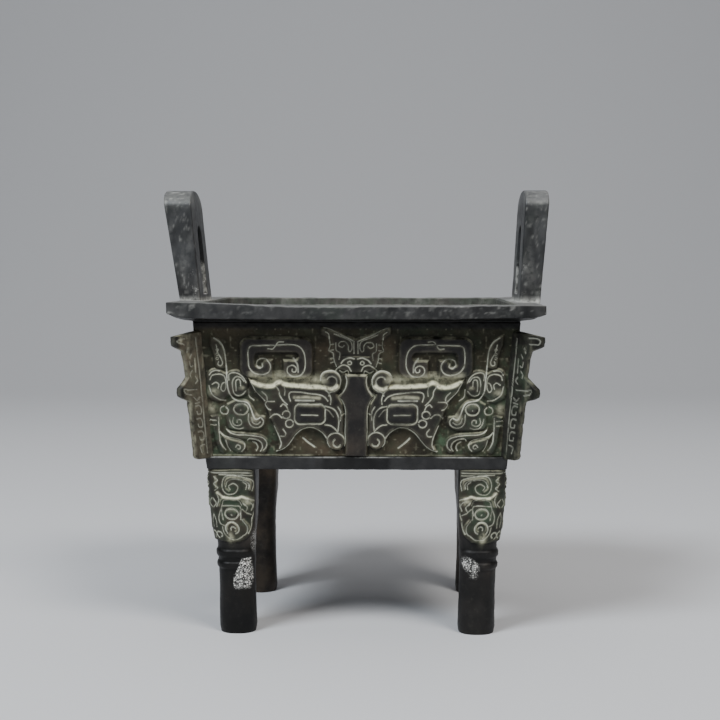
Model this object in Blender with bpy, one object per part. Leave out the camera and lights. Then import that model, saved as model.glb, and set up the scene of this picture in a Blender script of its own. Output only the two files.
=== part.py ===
"""Square bronze ding: an oblong cauldron on four legs, with two upright ears and corner flanges.

Metres, +Z up. X runs along the long side, Y along the short side. The feet stand on z = 0.
The vessel is one casting, so everything is joined into one solid.
"""
import math

import bmesh
import bpy
from mathutils import Matrix, Vector

# Vessel
BODY_BOTTOM_LENGTH = 0.147
BODY_BOTTOM_WIDTH = 0.106
BODY_TOP_LENGTH = 0.160
BODY_TOP_WIDTH = 0.117
BODY_DEPTH = 0.0735
WALL = 0.0042
FLOOR = 0.0045
CAVITY_CORNER_RADIUS = 0.004
LOWER_BAND_HEIGHT = 0.0065
LOWER_BAND_PROUD = 0.0008

# Rim
RIM_LENGTH = 0.182
RIM_WIDTH = 0.140
RIM_EDGE = 0.0056
RIM_UNDERSIDE_RISE = 0.0029

# Ears, one at each end of the rim; they lean out by different amounts
EAR_FOOT_WIDTH = 0.0430
EAR_SPRING_WIDTH = 0.0400
EAR_HEIGHT = 0.0581
EAR_ARCH = 0.0090
EAR_SLOT_WIDTH = 0.0130
EAR_SLOT_SILL = 0.0040
EAR_SLOT_HEIGHT = 0.0355
EAR_FOOT_THICKNESS = 0.0108
LEFT_EAR_TOP_THICKNESS = 0.0146
RIGHT_EAR_TOP_THICKNESS = 0.0125
EAR_ROOT = 0.0025
LEFT_EAR_FOOT_PROUD = 0.0011
LEFT_EAR_TOP_PROUD = 0.0104
RIGHT_EAR_FOOT_PROUD = 0.0028
RIGHT_EAR_TOP_PROUD = 0.0077

# Legs
LEG_HEIGHT = 0.0845
LEG_TOP_WIDTH = 0.0240
LEG_RING_WIDTH = 0.0204
LEG_NECK_WIDTH = 0.0182
LEG_FOOT_WIDTH = 0.0190
LEG_SETBACK = -0.0003
LEG_LEAN_IN = 0.0014
LEG_ROOT = 0.0020
BACK_LEG_SHIFT = 0.0032
LEG_MASK_HEIGHT = 0.0375
LEG_MASK_THICKNESS = 0.0011
UPPER_RING_HEIGHT = 0.0412
LOWER_RING_HEIGHT = 0.0360
RING_GROOVE_DEPTH = 0.0007

# Corner flanges
FLANGE_THICKNESS = 0.0046
FLANGE_HEIGHT = 0.0635
FLANGE_DROP = 0.0010
FLANGE_REACH = 0.0077
LEFT_UPPER_HOOK_REACH = 0.0139
LEFT_LOWER_HOOK_REACH = 0.0135
RIGHT_UPPER_HOOK_REACH = 0.0157
RIGHT_LOWER_HOOK_REACH = 0.0159
FLANGE_ROOT = 0.0030

# Relief: each layer's height above the wall
PLATE_RELIEF = 0.0013
GROOVE_DEPTH = 0.0008
EYE_RELIEF = 0.0021
RELIEF_ROOT = 0.0010
LEG_RELIEF = 0.0008

# The carving is drawn on a grid: this many units up the panel, and out from its centre line
GRID_HEIGHT = 66.0
LONG_GRID_HALF = 75.5
SHORT_GRID_HALF = 61.0
GROOVE_UNITS = 1.1
SCROLL_UNITS = 2.9
SCROLL_CLOSING = -1.3
FANG_WIDTH = 2.8
FANG_TIP = 1.2

BODY_NAME = "square_ding"
BOTTOM = LEG_HEIGHT
RIM_TOP = BOTTOM + BODY_DEPTH + RIM_UNDERSIDE_RISE + RIM_EDGE
PANEL_BOTTOM = BOTTOM + LOWER_BAND_HEIGHT
PANEL_HEIGHT = BODY_DEPTH - LOWER_BAND_HEIGHT
LENGTH_FLARE = (BODY_TOP_LENGTH - BODY_BOTTOM_LENGTH) / 2 / BODY_DEPTH
WIDTH_FLARE = (BODY_TOP_WIDTH - BODY_BOTTOM_WIDTH) / 2 / BODY_DEPTH
LEFT_REACH = RIM_LENGTH / 2 + max(LEFT_EAR_FOOT_PROUD, LEFT_EAR_TOP_PROUD)
RIGHT_REACH = RIM_LENGTH / 2 + max(RIGHT_EAR_FOOT_PROUD, RIGHT_EAR_TOP_PROUD)
CENTRE_SHIFT = (LEFT_REACH - RIGHT_REACH) / 2


def clear_scene():
    for item in list(bpy.data.objects):
        bpy.data.objects.remove(item, do_unlink=True)


def new_collection(name):
    collection = bpy.data.collections.new(name)
    bpy.context.scene.collection.children.link(collection)
    return collection


def bronze_material():
    material = bpy.data.materials.new("dark_bronze")
    material.use_nodes = True
    shader = material.node_tree.nodes["Principled BSDF"]
    shader.inputs["Base Color"].default_value = (0.075, 0.080, 0.068, 1.0)
    shader.inputs["Metallic"].default_value = 0.85
    shader.inputs["Roughness"].default_value = 0.52
    return material


def add_object(name, mesh, collection, guide=True):
    item = bpy.data.objects.new(name, mesh)
    collection.objects.link(item)
    if guide:
        item.hide_render = True
        item.display_type = "WIRE"
    return item


def finish_mesh(name, work):
    bmesh.ops.remove_doubles(work, verts=work.verts, dist=0.000005)
    bmesh.ops.recalc_face_normals(work, faces=work.faces)
    mesh = bpy.data.meshes.new(name)
    work.to_mesh(mesh)
    work.free()
    return mesh


def tapered_block(name, low_size, low_z, high_size, high_z):
    """A block with four sloping sides, between two levels, centred on the vertical axis."""
    work = bmesh.new()
    bmesh.ops.create_cube(work, size=1.0)
    for vert in work.verts:
        size, level = (high_size, high_z) if vert.co.z > 0 else (low_size, low_z)
        vert.co = Vector((vert.co.x * size[0], vert.co.y * size[1], level))
    return finish_mesh(name, work)


def loft(name, rings):
    """A closed skin through rings of equal point counts, lowest ring first."""
    work = bmesh.new()
    levels = [[work.verts.new(point) for point in ring] for ring in rings]
    count = len(rings[0])
    for low, high in zip(levels, levels[1:]):
        for index in range(count):
            after = (index + 1) % count
            work.faces.new((low[index], low[after], high[after], high[index]))
    work.faces.new(list(reversed(levels[0])))
    work.faces.new(levels[-1])
    return finish_mesh(name, work)


def plate_mesh(name, outlines, low, high, frame):
    """Flat outlines, each a closed loop, made a solid plate between two offsets along the frame's Z."""
    curve = bpy.data.curves.new(name, "CURVE")
    curve.dimensions = "2D"
    curve.fill_mode = "BOTH"
    curve.extrude = (high - low) / 2
    for outline in outlines:
        spline = curve.splines.new("POLY")
        spline.points.add(len(outline) - 1)
        for point, (across, up) in zip(spline.points, outline):
            point.co = (across, up, 0.0, 1.0)
        spline.use_cyclic_u = True
    holder = bpy.data.objects.new(name, curve)
    bpy.context.scene.collection.objects.link(holder)
    graph = bpy.context.evaluated_depsgraph_get()
    flat = bpy.data.meshes.new_from_object(holder.evaluated_get(graph))
    work = bmesh.new()
    work.from_mesh(flat)
    bmesh.ops.transform(work, matrix=frame @ Matrix.Translation((0, 0, (low + high) / 2)), verts=work.verts)
    bpy.data.objects.remove(holder, do_unlink=True)
    bpy.data.curves.remove(curve)
    bpy.data.meshes.remove(flat)
    return finish_mesh(name, work)


def mirrored_mesh(mesh, scale, name):
    """A copy scaled by plus or minus one on each axis, with its faces still pointing out."""
    work = bmesh.new()
    work.from_mesh(mesh)
    bmesh.ops.scale(work, vec=scale, verts=work.verts)
    return finish_mesh(name, work)


def boolean(target, operation, collection):
    modifier = target.modifiers.new(operation.lower(), "BOOLEAN")
    modifier.operation = operation
    modifier.solver = "EXACT"
    modifier.operand_type = "COLLECTION"
    modifier.collection = collection
    return modifier


def applied_boolean(name, mesh, operation, other):
    """The mesh left by one Boolean between two meshes."""
    first = bpy.data.objects.new(name, mesh)
    second = bpy.data.objects.new(name + "_other", other)
    for item in (first, second):
        bpy.context.scene.collection.objects.link(item)
    modifier = first.modifiers.new(operation.lower(), "BOOLEAN")
    modifier.operation = operation
    modifier.solver = "EXACT"
    modifier.object = second
    graph = bpy.context.evaluated_depsgraph_get()
    result = bpy.data.meshes.new_from_object(first.evaluated_get(graph))
    for item in (first, second):
        bpy.data.objects.remove(item, do_unlink=True)
    return result


# Outlines on the carving grid

def arc(centre, radius, start, end, steps, growth=0.0):
    """A path along an arc, angles in degrees; growth opens it into a scroll."""
    path = []
    for step in range(steps + 1):
        share = step / steps
        angle = math.radians(start + (end - start) * share)
        reach = radius + growth * share
        path.append((centre[0] + reach * math.cos(angle), centre[1] + reach * math.sin(angle)))
    return path


def ribbon(path, width, tip=None):
    """A band along a path, as a closed outline; it narrows to tip at its last end."""
    tip = width if tip is None else tip
    left, right = [], []
    last = len(path) - 1
    for index, point in enumerate(path):
        before = Vector(path[max(index - 1, 0)])
        after = Vector(path[min(index + 1, last)])
        along = (after - before).normalized()
        half = (width + (tip - width) * index / last) / 2
        side = Vector((-along.y, along.x)) * half
        left.append(tuple(Vector(point) + side))
        right.append(tuple(Vector(point) - side))
    return left + right[::-1]


def rounded(left, right, low, high, radius, steps=2):
    """A rectangle with rounded corners."""
    corners = (
        ((right - radius, high - radius), 0),
        ((left + radius, high - radius), 90),
        ((left + radius, low + radius), 180),
        ((right - radius, low + radius), 270),
    )
    outline = []
    for centre, turn in corners:
        outline += arc(centre, radius, turn, turn + 90, steps)
    return outline


def horn_outline():
    """The horn over the eye: a broad rounded bar, with a T of low ground let in from below."""
    left, right, low, high, radius = 20.6, 55.9, 39.2, 58.4, 4.0
    stem_left, stem_right = 34.9, 40.0
    bar_left, bar_right, bar_low, bar_high = 27.8, 48.2, 47.3, 51.0
    foot = 3.0
    outline = arc((right - radius, high - radius), radius, 0, 90, 2)
    outline += arc((left + radius, high - radius), radius, 90, 180, 2)
    outline += [(left, low + foot), (left + foot, low)]
    outline += [(stem_left, low), (stem_left, bar_low), (bar_left, bar_low), (bar_left, bar_high)]
    outline += [(bar_right, bar_high), (bar_right, bar_low), (stem_right, bar_low), (stem_right, low)]
    return outline + [(right - foot, low), (right, low + foot)]


def face_outline():
    """The raised face: brow with its scroll at the nose, cheek, jaw scroll and upper lip."""
    brow = [(52.2, 38.6), (46.4, 36.6), (36.0, 37.2), (18.2, 36.0)]
    brow_scroll = arc((12.4, 37.6), 4.7, 10, 220, 4)
    nose = [(9.6, 31.6), (9.6, 29.4), (6.9, 26.0), (6.3, 17.0)]
    jaw_scroll = arc((10.2, 8.0), 4.0, 165, 350, 3)
    lip = [(16.6, 12.2), (22.4, 14.6), (28.8, 11.4), (33.6, 5.8), (38.8, 2.4)]
    back = [(38.2, 11.4), (41.8, 19.8), (44.2, 27.6), (49.0, 32.2)]
    return brow + brow_scroll + nose + jaw_scroll + lip + back


def nose_outline():
    """The plain nose ridge down the middle, its left half the mirror of its right."""
    half = [(5.2, 0.7), (5.2, 17.5), (5.8, 25.6), (8.2, 29.6), (5.6, 33.6), (4.9, 40.4)]
    return half + [(-across, up) for across, up in reversed(half)]


def mask_plates():
    """The raised plates of the half mask that every side carries, clear of each other."""
    crown_bar = ribbon([(16.4, 61.6), (1.6, 55.6)], 2.6)
    crown_strip = ribbon([(13.6, 56.2), (12.4, 50.0), (9.6, 44.6)], 3.0, 2.4)
    return [horn_outline(), face_outline(), crown_bar, crown_strip]


def mask_grooves():
    """The grooves in those plates: along the horn, into the two scrolls and round the eye."""
    horn_outer = [(37.4, 56.0), (27.8, 54.2), (24.4, 47.6), (26.4, 42.0), (31.4, 42.4)]
    horn_inner = [(39.2, 54.0), (48.8, 54.4), (51.8, 47.6), (49.8, 42.4), (44.2, 42.8)]
    brow_scroll = arc((12.6, 37.4), SCROLL_UNITS, -80, -340, 4, SCROLL_CLOSING)
    jaw_scroll = arc((10.2, 7.8), 2.4, 160, -60, 3)
    eye_socket = [(14.4, 16.0), (30.4, 16.0), (30.4, 27.2), (14.4, 27.2)]
    paths = (horn_outer, horn_inner, brow_scroll, jaw_scroll)
    return [eye_socket] + [ribbon(path, GROOVE_UNITS) for path in paths]


def front_plates():
    """What the two long sides carry besides: fang, crown scrolls and the dragon beside the mask."""
    dragon_jaws = [(53.4, 30.0), (53.4, 39.0), (57.4, 42.0), (62.0, 40.8)]
    dragon_jaws += [(67.0, 43.0), (71.4, 40.6), (71.2, 30.4), (64.6, 28.6)]
    dragon_body = [(62.8, 27.2), (54.0, 28.4), (50.2, 24.0), (44.6, 20.4)]
    dragon_body += [(44.6, 15.8), (48.2, 13.2), (61.6, 13.8), (63.6, 18.6)]
    plume = ribbon([(68.4, 58.6), (65.0, 52.6), (63.6, 44.4)], 3.4, 2.2)
    claw = ribbon([(65.8, 12.4), (57.4, 10.6), (49.2, 9.8), (45.6, 7.2), (44.8, 3.0)], 3.0, 2.2)
    rear_claw = ribbon([(65.8, 8.4), (59.4, 6.4), (56.4, 2.6)], 2.4, 2.0)
    tail = ribbon([(69.2, 19.0), (69.0, 8.0), (66.6, 2.6)], 2.2)
    fang = ribbon([(25.8, 10.0), (20.4, 4.6)], FANG_WIDTH, FANG_TIP)
    crown_block = rounded(1.2, 8.6, 49.4, 53.0, 1.2, 1)
    crown_curl = ribbon(arc((5.2, 43.6), 1.9, 220, -40, 3), 2.2, 1.6)
    return [dragon_jaws, dragon_body, plume, claw, rear_claw, tail, fang, crown_block, crown_curl]


def front_grooves():
    eyelid = [(32.6, 28.6), (31.8, 31.8), (16.4, 31.0), (12.6, 27.6)]
    cheek = [(12.2, 25.0), (9.4, 21.4), (8.9, 14.0)]
    wing = [(46.4, 33.2), (42.6, 30.6), (42.2, 27.0)]
    dragon_split = [(61.8, 39.6), (61.6, 31.0)]
    dragon_loop = [(54.6, 38.0), (57.6, 39.8), (59.6, 37.0), (58.8, 32.0), (55.6, 32.2)]
    dragon_curl = arc((66.8, 35.6), SCROLL_UNITS, 30, 280, 4)
    body_scroll = arc((49.2, 18.6), 2.8, 190, 330, 3)
    hip_scroll = arc((58.6, 17.6), 2.0, 140, 380, 3)
    paths = (eyelid, cheek, wing, dragon_split, dragon_loop, dragon_curl, body_scroll, hip_scroll)
    return [ribbon(path, GROOVE_UNITS) for path in paths]


def both_sides(outlines):
    """The outlines with their mirror images across the centre line."""
    return outlines + [[(-across, up) for across, up in reversed(outline)] for outline in outlines]


def scaled(outlines, across_scale, up_scale):
    return [[(across * across_scale, up * up_scale) for across, up in outline] for outline in outlines]


def wall_frame(outward, half, flare, level):
    """The frame of a sloping wall: X across it, Y up its slope, Z out of it."""
    outward = Vector(outward)
    tilt = math.atan(flare)
    across = Vector((0, 0, 1)).cross(outward)
    up = outward * math.sin(tilt) + Vector((0, 0, math.cos(tilt)))
    normal = across.cross(up)
    frame = Matrix((across, up, normal)).transposed().to_4x4()
    frame.translation = outward * half + Vector((0, 0, level))
    return frame


def panel_plates(collection):
    """The masks on the four walls; the two long walls carry a fuller one, and dragons beside it."""
    long_half = BODY_BOTTOM_WIDTH / 2 + LOWER_BAND_HEIGHT * WIDTH_FLARE
    short_half = BODY_BOTTOM_LENGTH / 2 + LOWER_BAND_HEIGHT * LENGTH_FLARE
    mean_length = (BODY_TOP_LENGTH + BODY_BOTTOM_LENGTH) / 4
    mean_width = (BODY_TOP_WIDTH + BODY_BOTTOM_WIDTH) / 4
    walls = (
        ("long", (0, -1, 0), long_half, WIDTH_FLARE, mean_length / LONG_GRID_HALF, (1, -1, 1)),
        ("short", (1, 0, 0), short_half, LENGTH_FLARE, mean_width / SHORT_GRID_HALF, (-1, 1, 1)),
    )
    up_scale = PANEL_HEIGHT / GRID_HEIGHT
    for side, outward, half, flare, across_scale, flip in walls:
        frame = wall_frame(outward, half, flare, PANEL_BOTTOM)
        plates = mask_plates()
        grooves = mask_grooves()
        eyes = [rounded(15.4, 29.4, 17.0, 26.2, 2.0, 1)]
        if side == "long":
            plates += front_plates()
            grooves += front_grooves()
            eyes.append(rounded(53.0, 59.4, 21.2, 26.2, 1.6, 1))
        plates = scaled(both_sides(plates) + [nose_outline()], across_scale, up_scale)
        grooves = scaled(both_sides(grooves), across_scale, up_scale)
        eyes = scaled(both_sides(eyes), across_scale, up_scale)
        name = side + "_mask"
        mask = plate_mesh(name, plates, -RELIEF_ROOT, PLATE_RELIEF, frame)
        cuts = plate_mesh(name + "_grooves", grooves, PLATE_RELIEF - GROOVE_DEPTH, EYE_RELIEF, frame)
        mask = applied_boolean(name, mask, "DIFFERENCE", cuts)
        bosses = plate_mesh(name + "_eyes", eyes, -RELIEF_ROOT / 2, EYE_RELIEF, frame)
        mask = applied_boolean(name, mask, "UNION", bosses)
        add_object(name, mask, collection)
        add_object(name + "_opposite", mirrored_mesh(mask, flip, name + "_opposite"), collection)


def leg_ring(level, width, corner, grow=0.0):
    """One level of a leg: a rounded square whose centre leans in towards the foot."""
    share = 1 - level / LEG_HEIGHT
    outer_x = BODY_BOTTOM_LENGTH / 2 - LEG_SETBACK - LEG_TOP_WIDTH / 2 - LEG_LEAN_IN * share
    outer_y = BODY_BOTTOM_WIDTH / 2 - LEG_SETBACK - LEG_TOP_WIDTH / 2 - LEG_LEAN_IN * share
    half = width / 2 + grow
    outline = rounded(-half, half, -half, half, half * corner)
    return [(outer_x + across, outer_y + up, level) for across, up in outline]


def leg_mesh():
    """One leg: a column with two rings, and a mask wrapped round its outer corner."""
    groove_width = LEG_RING_WIDTH - 2 * RING_GROOVE_DEPTH
    groove_level = (UPPER_RING_HEIGHT + LOWER_RING_HEIGHT) / 2
    mask_low = LEG_HEIGHT - LEG_MASK_HEIGHT
    neck_level = 2 * LOWER_RING_HEIGHT - groove_level - (UPPER_RING_HEIGHT - LOWER_RING_HEIGHT) / 2
    levels = (
        (0.0, LEG_FOOT_WIDTH, 0.80),
        (neck_level, LEG_NECK_WIDTH, 0.80),
        (LOWER_RING_HEIGHT, LEG_RING_WIDTH, 0.80),
        (groove_level, groove_width, 0.80),
        (UPPER_RING_HEIGHT, LEG_RING_WIDTH, 0.75),
        (mask_low, groove_width, 0.70),
        (LEG_HEIGHT + LEG_ROOT, LEG_TOP_WIDTH - 2 * LEG_MASK_THICKNESS, 0.50),
    )
    column = loft("leg_column", [leg_ring(*level) for level in levels])
    shell_levels = (
        (mask_low - LEG_MASK_THICKNESS, groove_width, 0.60),
        (LEG_HEIGHT - 0.0002, LEG_TOP_WIDTH - 2 * LEG_MASK_THICKNESS, 0.34),
    )
    shell = loft("leg_shell", [leg_ring(*level, grow=LEG_MASK_THICKNESS) for level in shell_levels])
    shield = plate_mesh("leg_shield", [leg_shield_outline()], 0.0, LEG_TOP_WIDTH, diagonal_frame())
    shell = applied_boolean("leg_mask", shell, "INTERSECT", shield)
    leg = applied_boolean("leg", column, "UNION", shell)
    return leg


def leg_centre_offset():
    """The leg's axis at its top, along X and along Y."""
    inset = LEG_SETBACK + LEG_TOP_WIDTH / 2
    return BODY_BOTTOM_LENGTH / 2 - inset, BODY_BOTTOM_WIDTH / 2 - inset


def diagonal_frame():
    """A frame at the leg's axis that looks out over its outer corner: X across, Y up."""
    x, y = leg_centre_offset()
    outward = Vector((1, 1, 0)).normalized()
    across = Vector((0, 0, 1)).cross(outward)
    frame = Matrix((across, Vector((0, 0, 1)), outward)).transposed().to_4x4()
    frame.translation = (x, y, 0)
    return frame


def leg_shield_outline():
    """The mask's outline, seen over the leg's corner: square above, an arc to a blunt tip below."""
    top = LEG_HEIGHT + LEG_ROOT
    low = LEG_HEIGHT - LEG_MASK_HEIGHT
    half = LEG_TOP_WIDTH * 0.60
    jaw = LEG_TOP_WIDTH * 0.36
    spring = low + LEG_MASK_HEIGHT * 0.42
    right = [(half, top), (half * 0.98, spring), (jaw, low + LEG_MASK_HEIGHT * 0.10), (jaw * 0.7, low)]
    return right + [(-across, up) for across, up in reversed(right)]


def leg_relief_mesh():
    """The leg mask's eye, horn and brow on its front face; the side face mirrors them."""
    unit = LEG_MASK_HEIGHT / 35.0
    low = LEG_HEIGHT - LEG_MASK_HEIGHT
    taper = (LEG_TOP_WIDTH - LEG_RING_WIDTH + 2 * RING_GROOVE_DEPTH) / 2 - LEG_MASK_THICKNESS
    flare = (taper + LEG_LEAN_IN * LEG_MASK_HEIGHT / LEG_HEIGHT) / LEG_MASK_HEIGHT
    x, y = leg_centre_offset()
    half = y + LEG_TOP_WIDTH / 2 - flare * LEG_MASK_HEIGHT
    frame = wall_frame((0, 1, 0), half, flare, low)
    shapes = [
        ribbon(arc((-1.2, 27.4), 4.4, -20, 200, 3), 2.0, 1.5),
        ribbon([(-7.2, 19.4), (5.8, 21.2)], 1.6, 1.4),
        rounded(-3.6, 3.0, 11.8, 17.0, 1.4, 1),
        ribbon(arc((0.6, 7.0), 2.7, -30, 200, 3), 1.7, 1.3),
    ]
    outlines = [[(-across * unit - x, up * unit) for across, up in reversed(shape)] for shape in shapes]
    return plate_mesh("leg_relief", outlines, -RELIEF_ROOT, LEG_RELIEF, frame)


def swapped_leg_relief(mesh):
    """The front face's relief turned onto the outer side face, across the leg's diagonal."""
    x, y = leg_centre_offset()
    swap = Matrix(((0, 1, 0, x - y), (1, 0, 0, y - x), (0, 0, 1, 0), (0, 0, 0, 1)))
    work = bmesh.new()
    work.from_mesh(mesh)
    bmesh.ops.transform(work, matrix=swap, verts=work.verts)
    return finish_mesh("leg_relief_side", work)


def legs(collection):
    relief = leg_relief_mesh()
    leg = applied_boolean("leg_carved", leg_mesh(), "UNION", relief)
    leg = applied_boolean("leg_done", leg, "UNION", swapped_leg_relief(relief))
    for side, x_sign in (("right", 1), ("left", -1)):
        for end, y_sign in (("back", 1), ("front", -1)):
            name = end + "_" + side + "_leg"
            item = add_object(name, mirrored_mesh(leg, (x_sign, y_sign, 1), name), collection)
            if end == "back":
                item.location.x = BACK_LEG_SHIFT


def ear_outline():
    """The ear from the side: posts that narrow upwards, under a round arch."""
    foot_half = EAR_FOOT_WIDTH / 2
    spring_half = EAR_SPRING_WIDTH / 2
    spring = EAR_HEIGHT - EAR_ARCH
    outline = [(foot_half, -EAR_ROOT)]
    for across, up in arc((0.0, 0.0), 1.0, 0, 180, 12):
        outline.append((spring_half * across, spring + EAR_ARCH * up))
    return outline + [(-foot_half, -EAR_ROOT)]


def ear_slot_outline():
    half = EAR_SLOT_WIDTH / 2
    spring = EAR_SLOT_SILL + EAR_SLOT_HEIGHT - half
    outline = [(half, EAR_SLOT_SILL)]
    outline += [(half * across, spring + half * up) for across, up in arc((0.0, 0.0), 1.0, 0, 180, 8)]
    return outline + [(-half, EAR_SLOT_SILL)]


def ear_mesh(name, foot_proud, top_proud, top_thickness):
    """One ear at the +X end: it stands on the rim, leans out and thickens towards its top."""
    frame = wall_frame((1, 0, 0), 0.0, 0.0, RIM_TOP)
    mesh = plate_mesh(name, [ear_outline(), ear_slot_outline()], 0.0, 1.0, frame)
    for vert in mesh.vertices:
        share = max(vert.co.z - RIM_TOP, 0.0) / EAR_HEIGHT
        outer = RIM_LENGTH / 2 + foot_proud + (top_proud - foot_proud) * share
        thickness = EAR_FOOT_THICKNESS + (top_thickness - EAR_FOOT_THICKNESS) * share
        vert.co.x = outer - thickness * (1 - vert.co.x)
    return mesh


def ears(collection):
    right = ear_mesh("right_ear", RIGHT_EAR_FOOT_PROUD, RIGHT_EAR_TOP_PROUD, RIGHT_EAR_TOP_THICKNESS)
    left = ear_mesh("left_ear", LEFT_EAR_FOOT_PROUD, LEFT_EAR_TOP_PROUD, LEFT_EAR_TOP_THICKNESS)
    add_object("right_ear", right, collection)
    add_object("left_ear", mirrored_mesh(left, (-1, 1, 1), "left_ear"), collection)


def flange_outline(upper, lower):
    """A flange from the side: reach from the vessel's corner against height, with two hooks."""
    plain = FLANGE_REACH
    shares = (
        (-FLANGE_ROOT, 1.00),
        (upper * 0.60, 0.975),
        (upper * 0.97, 0.968),
        (upper, 0.888),
        (plain * 1.15, 0.850),
        (plain * 1.00, 0.700),
        (plain * 0.96, 0.650),
        (lower * 0.97, 0.565),
        (lower, 0.505),
        (plain * 1.08, 0.462),
        (plain * 1.00, 0.235),
        (plain * 1.02, 0.020),
        (plain * 0.90, 0.0),
        (-FLANGE_ROOT, 0.0),
    )
    return [(reach, share * FLANGE_HEIGHT) for reach, share in reversed(shares)]


def flanges(collection):
    """Four flanges, one out of each corner at 45 degrees, each sloping with the corner."""
    drift = (LENGTH_FLARE + WIDTH_FLARE) / math.sqrt(2)
    outward = Vector((1, 1, 0)).normalized()
    normal = outward.cross(Vector((0, 0, 1)))
    foot_rise = LOWER_BAND_HEIGHT - FLANGE_DROP
    corner_x = BODY_BOTTOM_LENGTH / 2 + foot_rise * LENGTH_FLARE
    corner_y = BODY_BOTTOM_WIDTH / 2 + foot_rise * WIDTH_FLARE
    frame = Matrix((outward, Vector((0, 0, 1)), normal)).transposed().to_4x4()
    frame.translation = (corner_x, corner_y, BOTTOM + foot_rise)
    half = FLANGE_THICKNESS / 2
    hooks = (
        ("right", 1, RIGHT_UPPER_HOOK_REACH, RIGHT_LOWER_HOOK_REACH),
        ("left", -1, LEFT_UPPER_HOOK_REACH, LEFT_LOWER_HOOK_REACH),
    )
    for side, x_sign, upper, lower in hooks:
        outline = [(reach + drift * up, up) for reach, up in flange_outline(upper, lower)]
        mesh = plate_mesh(side + "_flange", [outline], -half, half, frame)
        for end, y_sign in (("back", 1), ("front", -1)):
            name = end + "_" + side + "_flange"
            add_object(name, mirrored_mesh(mesh, (x_sign, y_sign, 1), name), collection)


def rim():
    """The flat rim, over a sloping underside that meets the wall."""
    neck_level = BOTTOM + BODY_DEPTH
    edge_level = neck_level + RIM_UNDERSIDE_RISE
    top = (RIM_LENGTH, RIM_WIDTH)
    neck = (BODY_TOP_LENGTH, BODY_TOP_WIDTH)
    slope = tapered_block("rim_underside", neck, neck_level, top, edge_level)
    edge = tapered_block("rim_edge", top, edge_level, top, RIM_TOP)
    return applied_boolean("rim", slope, "UNION", edge)


def lower_band(collection):
    """The plain band along the foot of the walls, a little proud of the panels."""
    grow = 2 * LOWER_BAND_PROUD
    low = (BODY_BOTTOM_LENGTH + grow, BODY_BOTTOM_WIDTH + grow)
    rise = LOWER_BAND_HEIGHT * 2
    high = (low[0] + rise * LENGTH_FLARE, low[1] + rise * WIDTH_FLARE)
    mesh = tapered_block("lower_band", low, BOTTOM, high, PANEL_BOTTOM)
    add_object("lower_band", mesh, collection)


def cavity(collection):
    """The hollow: it follows the walls at one thickness and opens through the rim."""
    floor_level = BOTTOM + FLOOR
    mouth_level = RIM_TOP + EAR_ROOT
    low_rise = FLOOR * 2
    high_rise = (mouth_level - BOTTOM) * 2
    inner_length = BODY_BOTTOM_LENGTH - 2 * WALL
    inner_width = BODY_BOTTOM_WIDTH - 2 * WALL
    low = (inner_length + low_rise * LENGTH_FLARE, inner_width + low_rise * WIDTH_FLARE)
    high = (inner_length + high_rise * LENGTH_FLARE, inner_width + high_rise * WIDTH_FLARE)
    rings = []
    for size, level in ((low, floor_level), (high, mouth_level)):
        outline = rounded(-size[0] / 2, size[0] / 2, -size[1] / 2, size[1] / 2, CAVITY_CORNER_RADIUS, 3)
        rings.append([(across, up, level) for across, up in outline])
    add_object("cavity", loft("cavity", rings), collection)


def main():
    clear_scene()
    finished = new_collection("square bronze ding")
    joined = new_collection("joined shapes")
    cutters = new_collection("cutters")
    low = (BODY_BOTTOM_LENGTH, BODY_BOTTOM_WIDTH)
    neck = (BODY_TOP_LENGTH, BODY_TOP_WIDTH)
    mesh = tapered_block(BODY_NAME, low, BOTTOM, neck, BOTTOM + BODY_DEPTH)
    vessel = add_object(BODY_NAME, mesh, finished, guide=False)
    vessel.data.materials.append(bronze_material())
    add_object("rim", rim(), joined)
    lower_band(joined)
    legs(joined)
    ears(joined)
    flanges(joined)
    panel_plates(joined)
    cavity(cutters)
    boolean(vessel, "UNION", joined)
    boolean(vessel, "DIFFERENCE", cutters)
    root = bpy.data.objects.new("ding_centre", None)
    finished.objects.link(root)
    root.location.x = CENTRE_SHIFT
    for item in list(bpy.data.objects):
        if item is not root:
            item.parent = root


main()
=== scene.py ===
"""Looks of the square bronze ding: carved relief, wear and patina, with a plain stage, light and camera."""
import math

import bpy
import numpy as np
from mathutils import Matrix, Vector


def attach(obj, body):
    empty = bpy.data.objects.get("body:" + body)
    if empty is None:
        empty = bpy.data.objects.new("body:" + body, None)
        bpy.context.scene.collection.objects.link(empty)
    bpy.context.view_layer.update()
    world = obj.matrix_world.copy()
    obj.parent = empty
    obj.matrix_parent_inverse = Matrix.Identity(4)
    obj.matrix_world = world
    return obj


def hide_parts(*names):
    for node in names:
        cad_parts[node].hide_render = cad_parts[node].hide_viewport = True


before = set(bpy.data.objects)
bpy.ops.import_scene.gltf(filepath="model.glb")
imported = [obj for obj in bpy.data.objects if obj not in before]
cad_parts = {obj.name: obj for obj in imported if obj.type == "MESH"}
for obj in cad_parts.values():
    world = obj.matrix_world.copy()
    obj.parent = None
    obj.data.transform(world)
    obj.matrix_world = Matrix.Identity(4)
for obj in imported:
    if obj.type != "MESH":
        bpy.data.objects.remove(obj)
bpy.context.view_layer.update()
NODE = "square_ding"
MM = 0.001

# Vessel, in metres, as the solid has it
BODY_BOTTOM = (0.147, 0.106)
BODY_TOP = (0.160, 0.117)
BODY_DEPTH = 0.0735
WALL = 0.0042
FLOOR = 0.0045
BAND_HEIGHT = 0.0065
BAND_PROUD = 0.0008
RIM = (0.182, 0.140)
RIM_EDGE = 0.0056
RIM_UNDERSIDE_RISE = 0.0029

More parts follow.
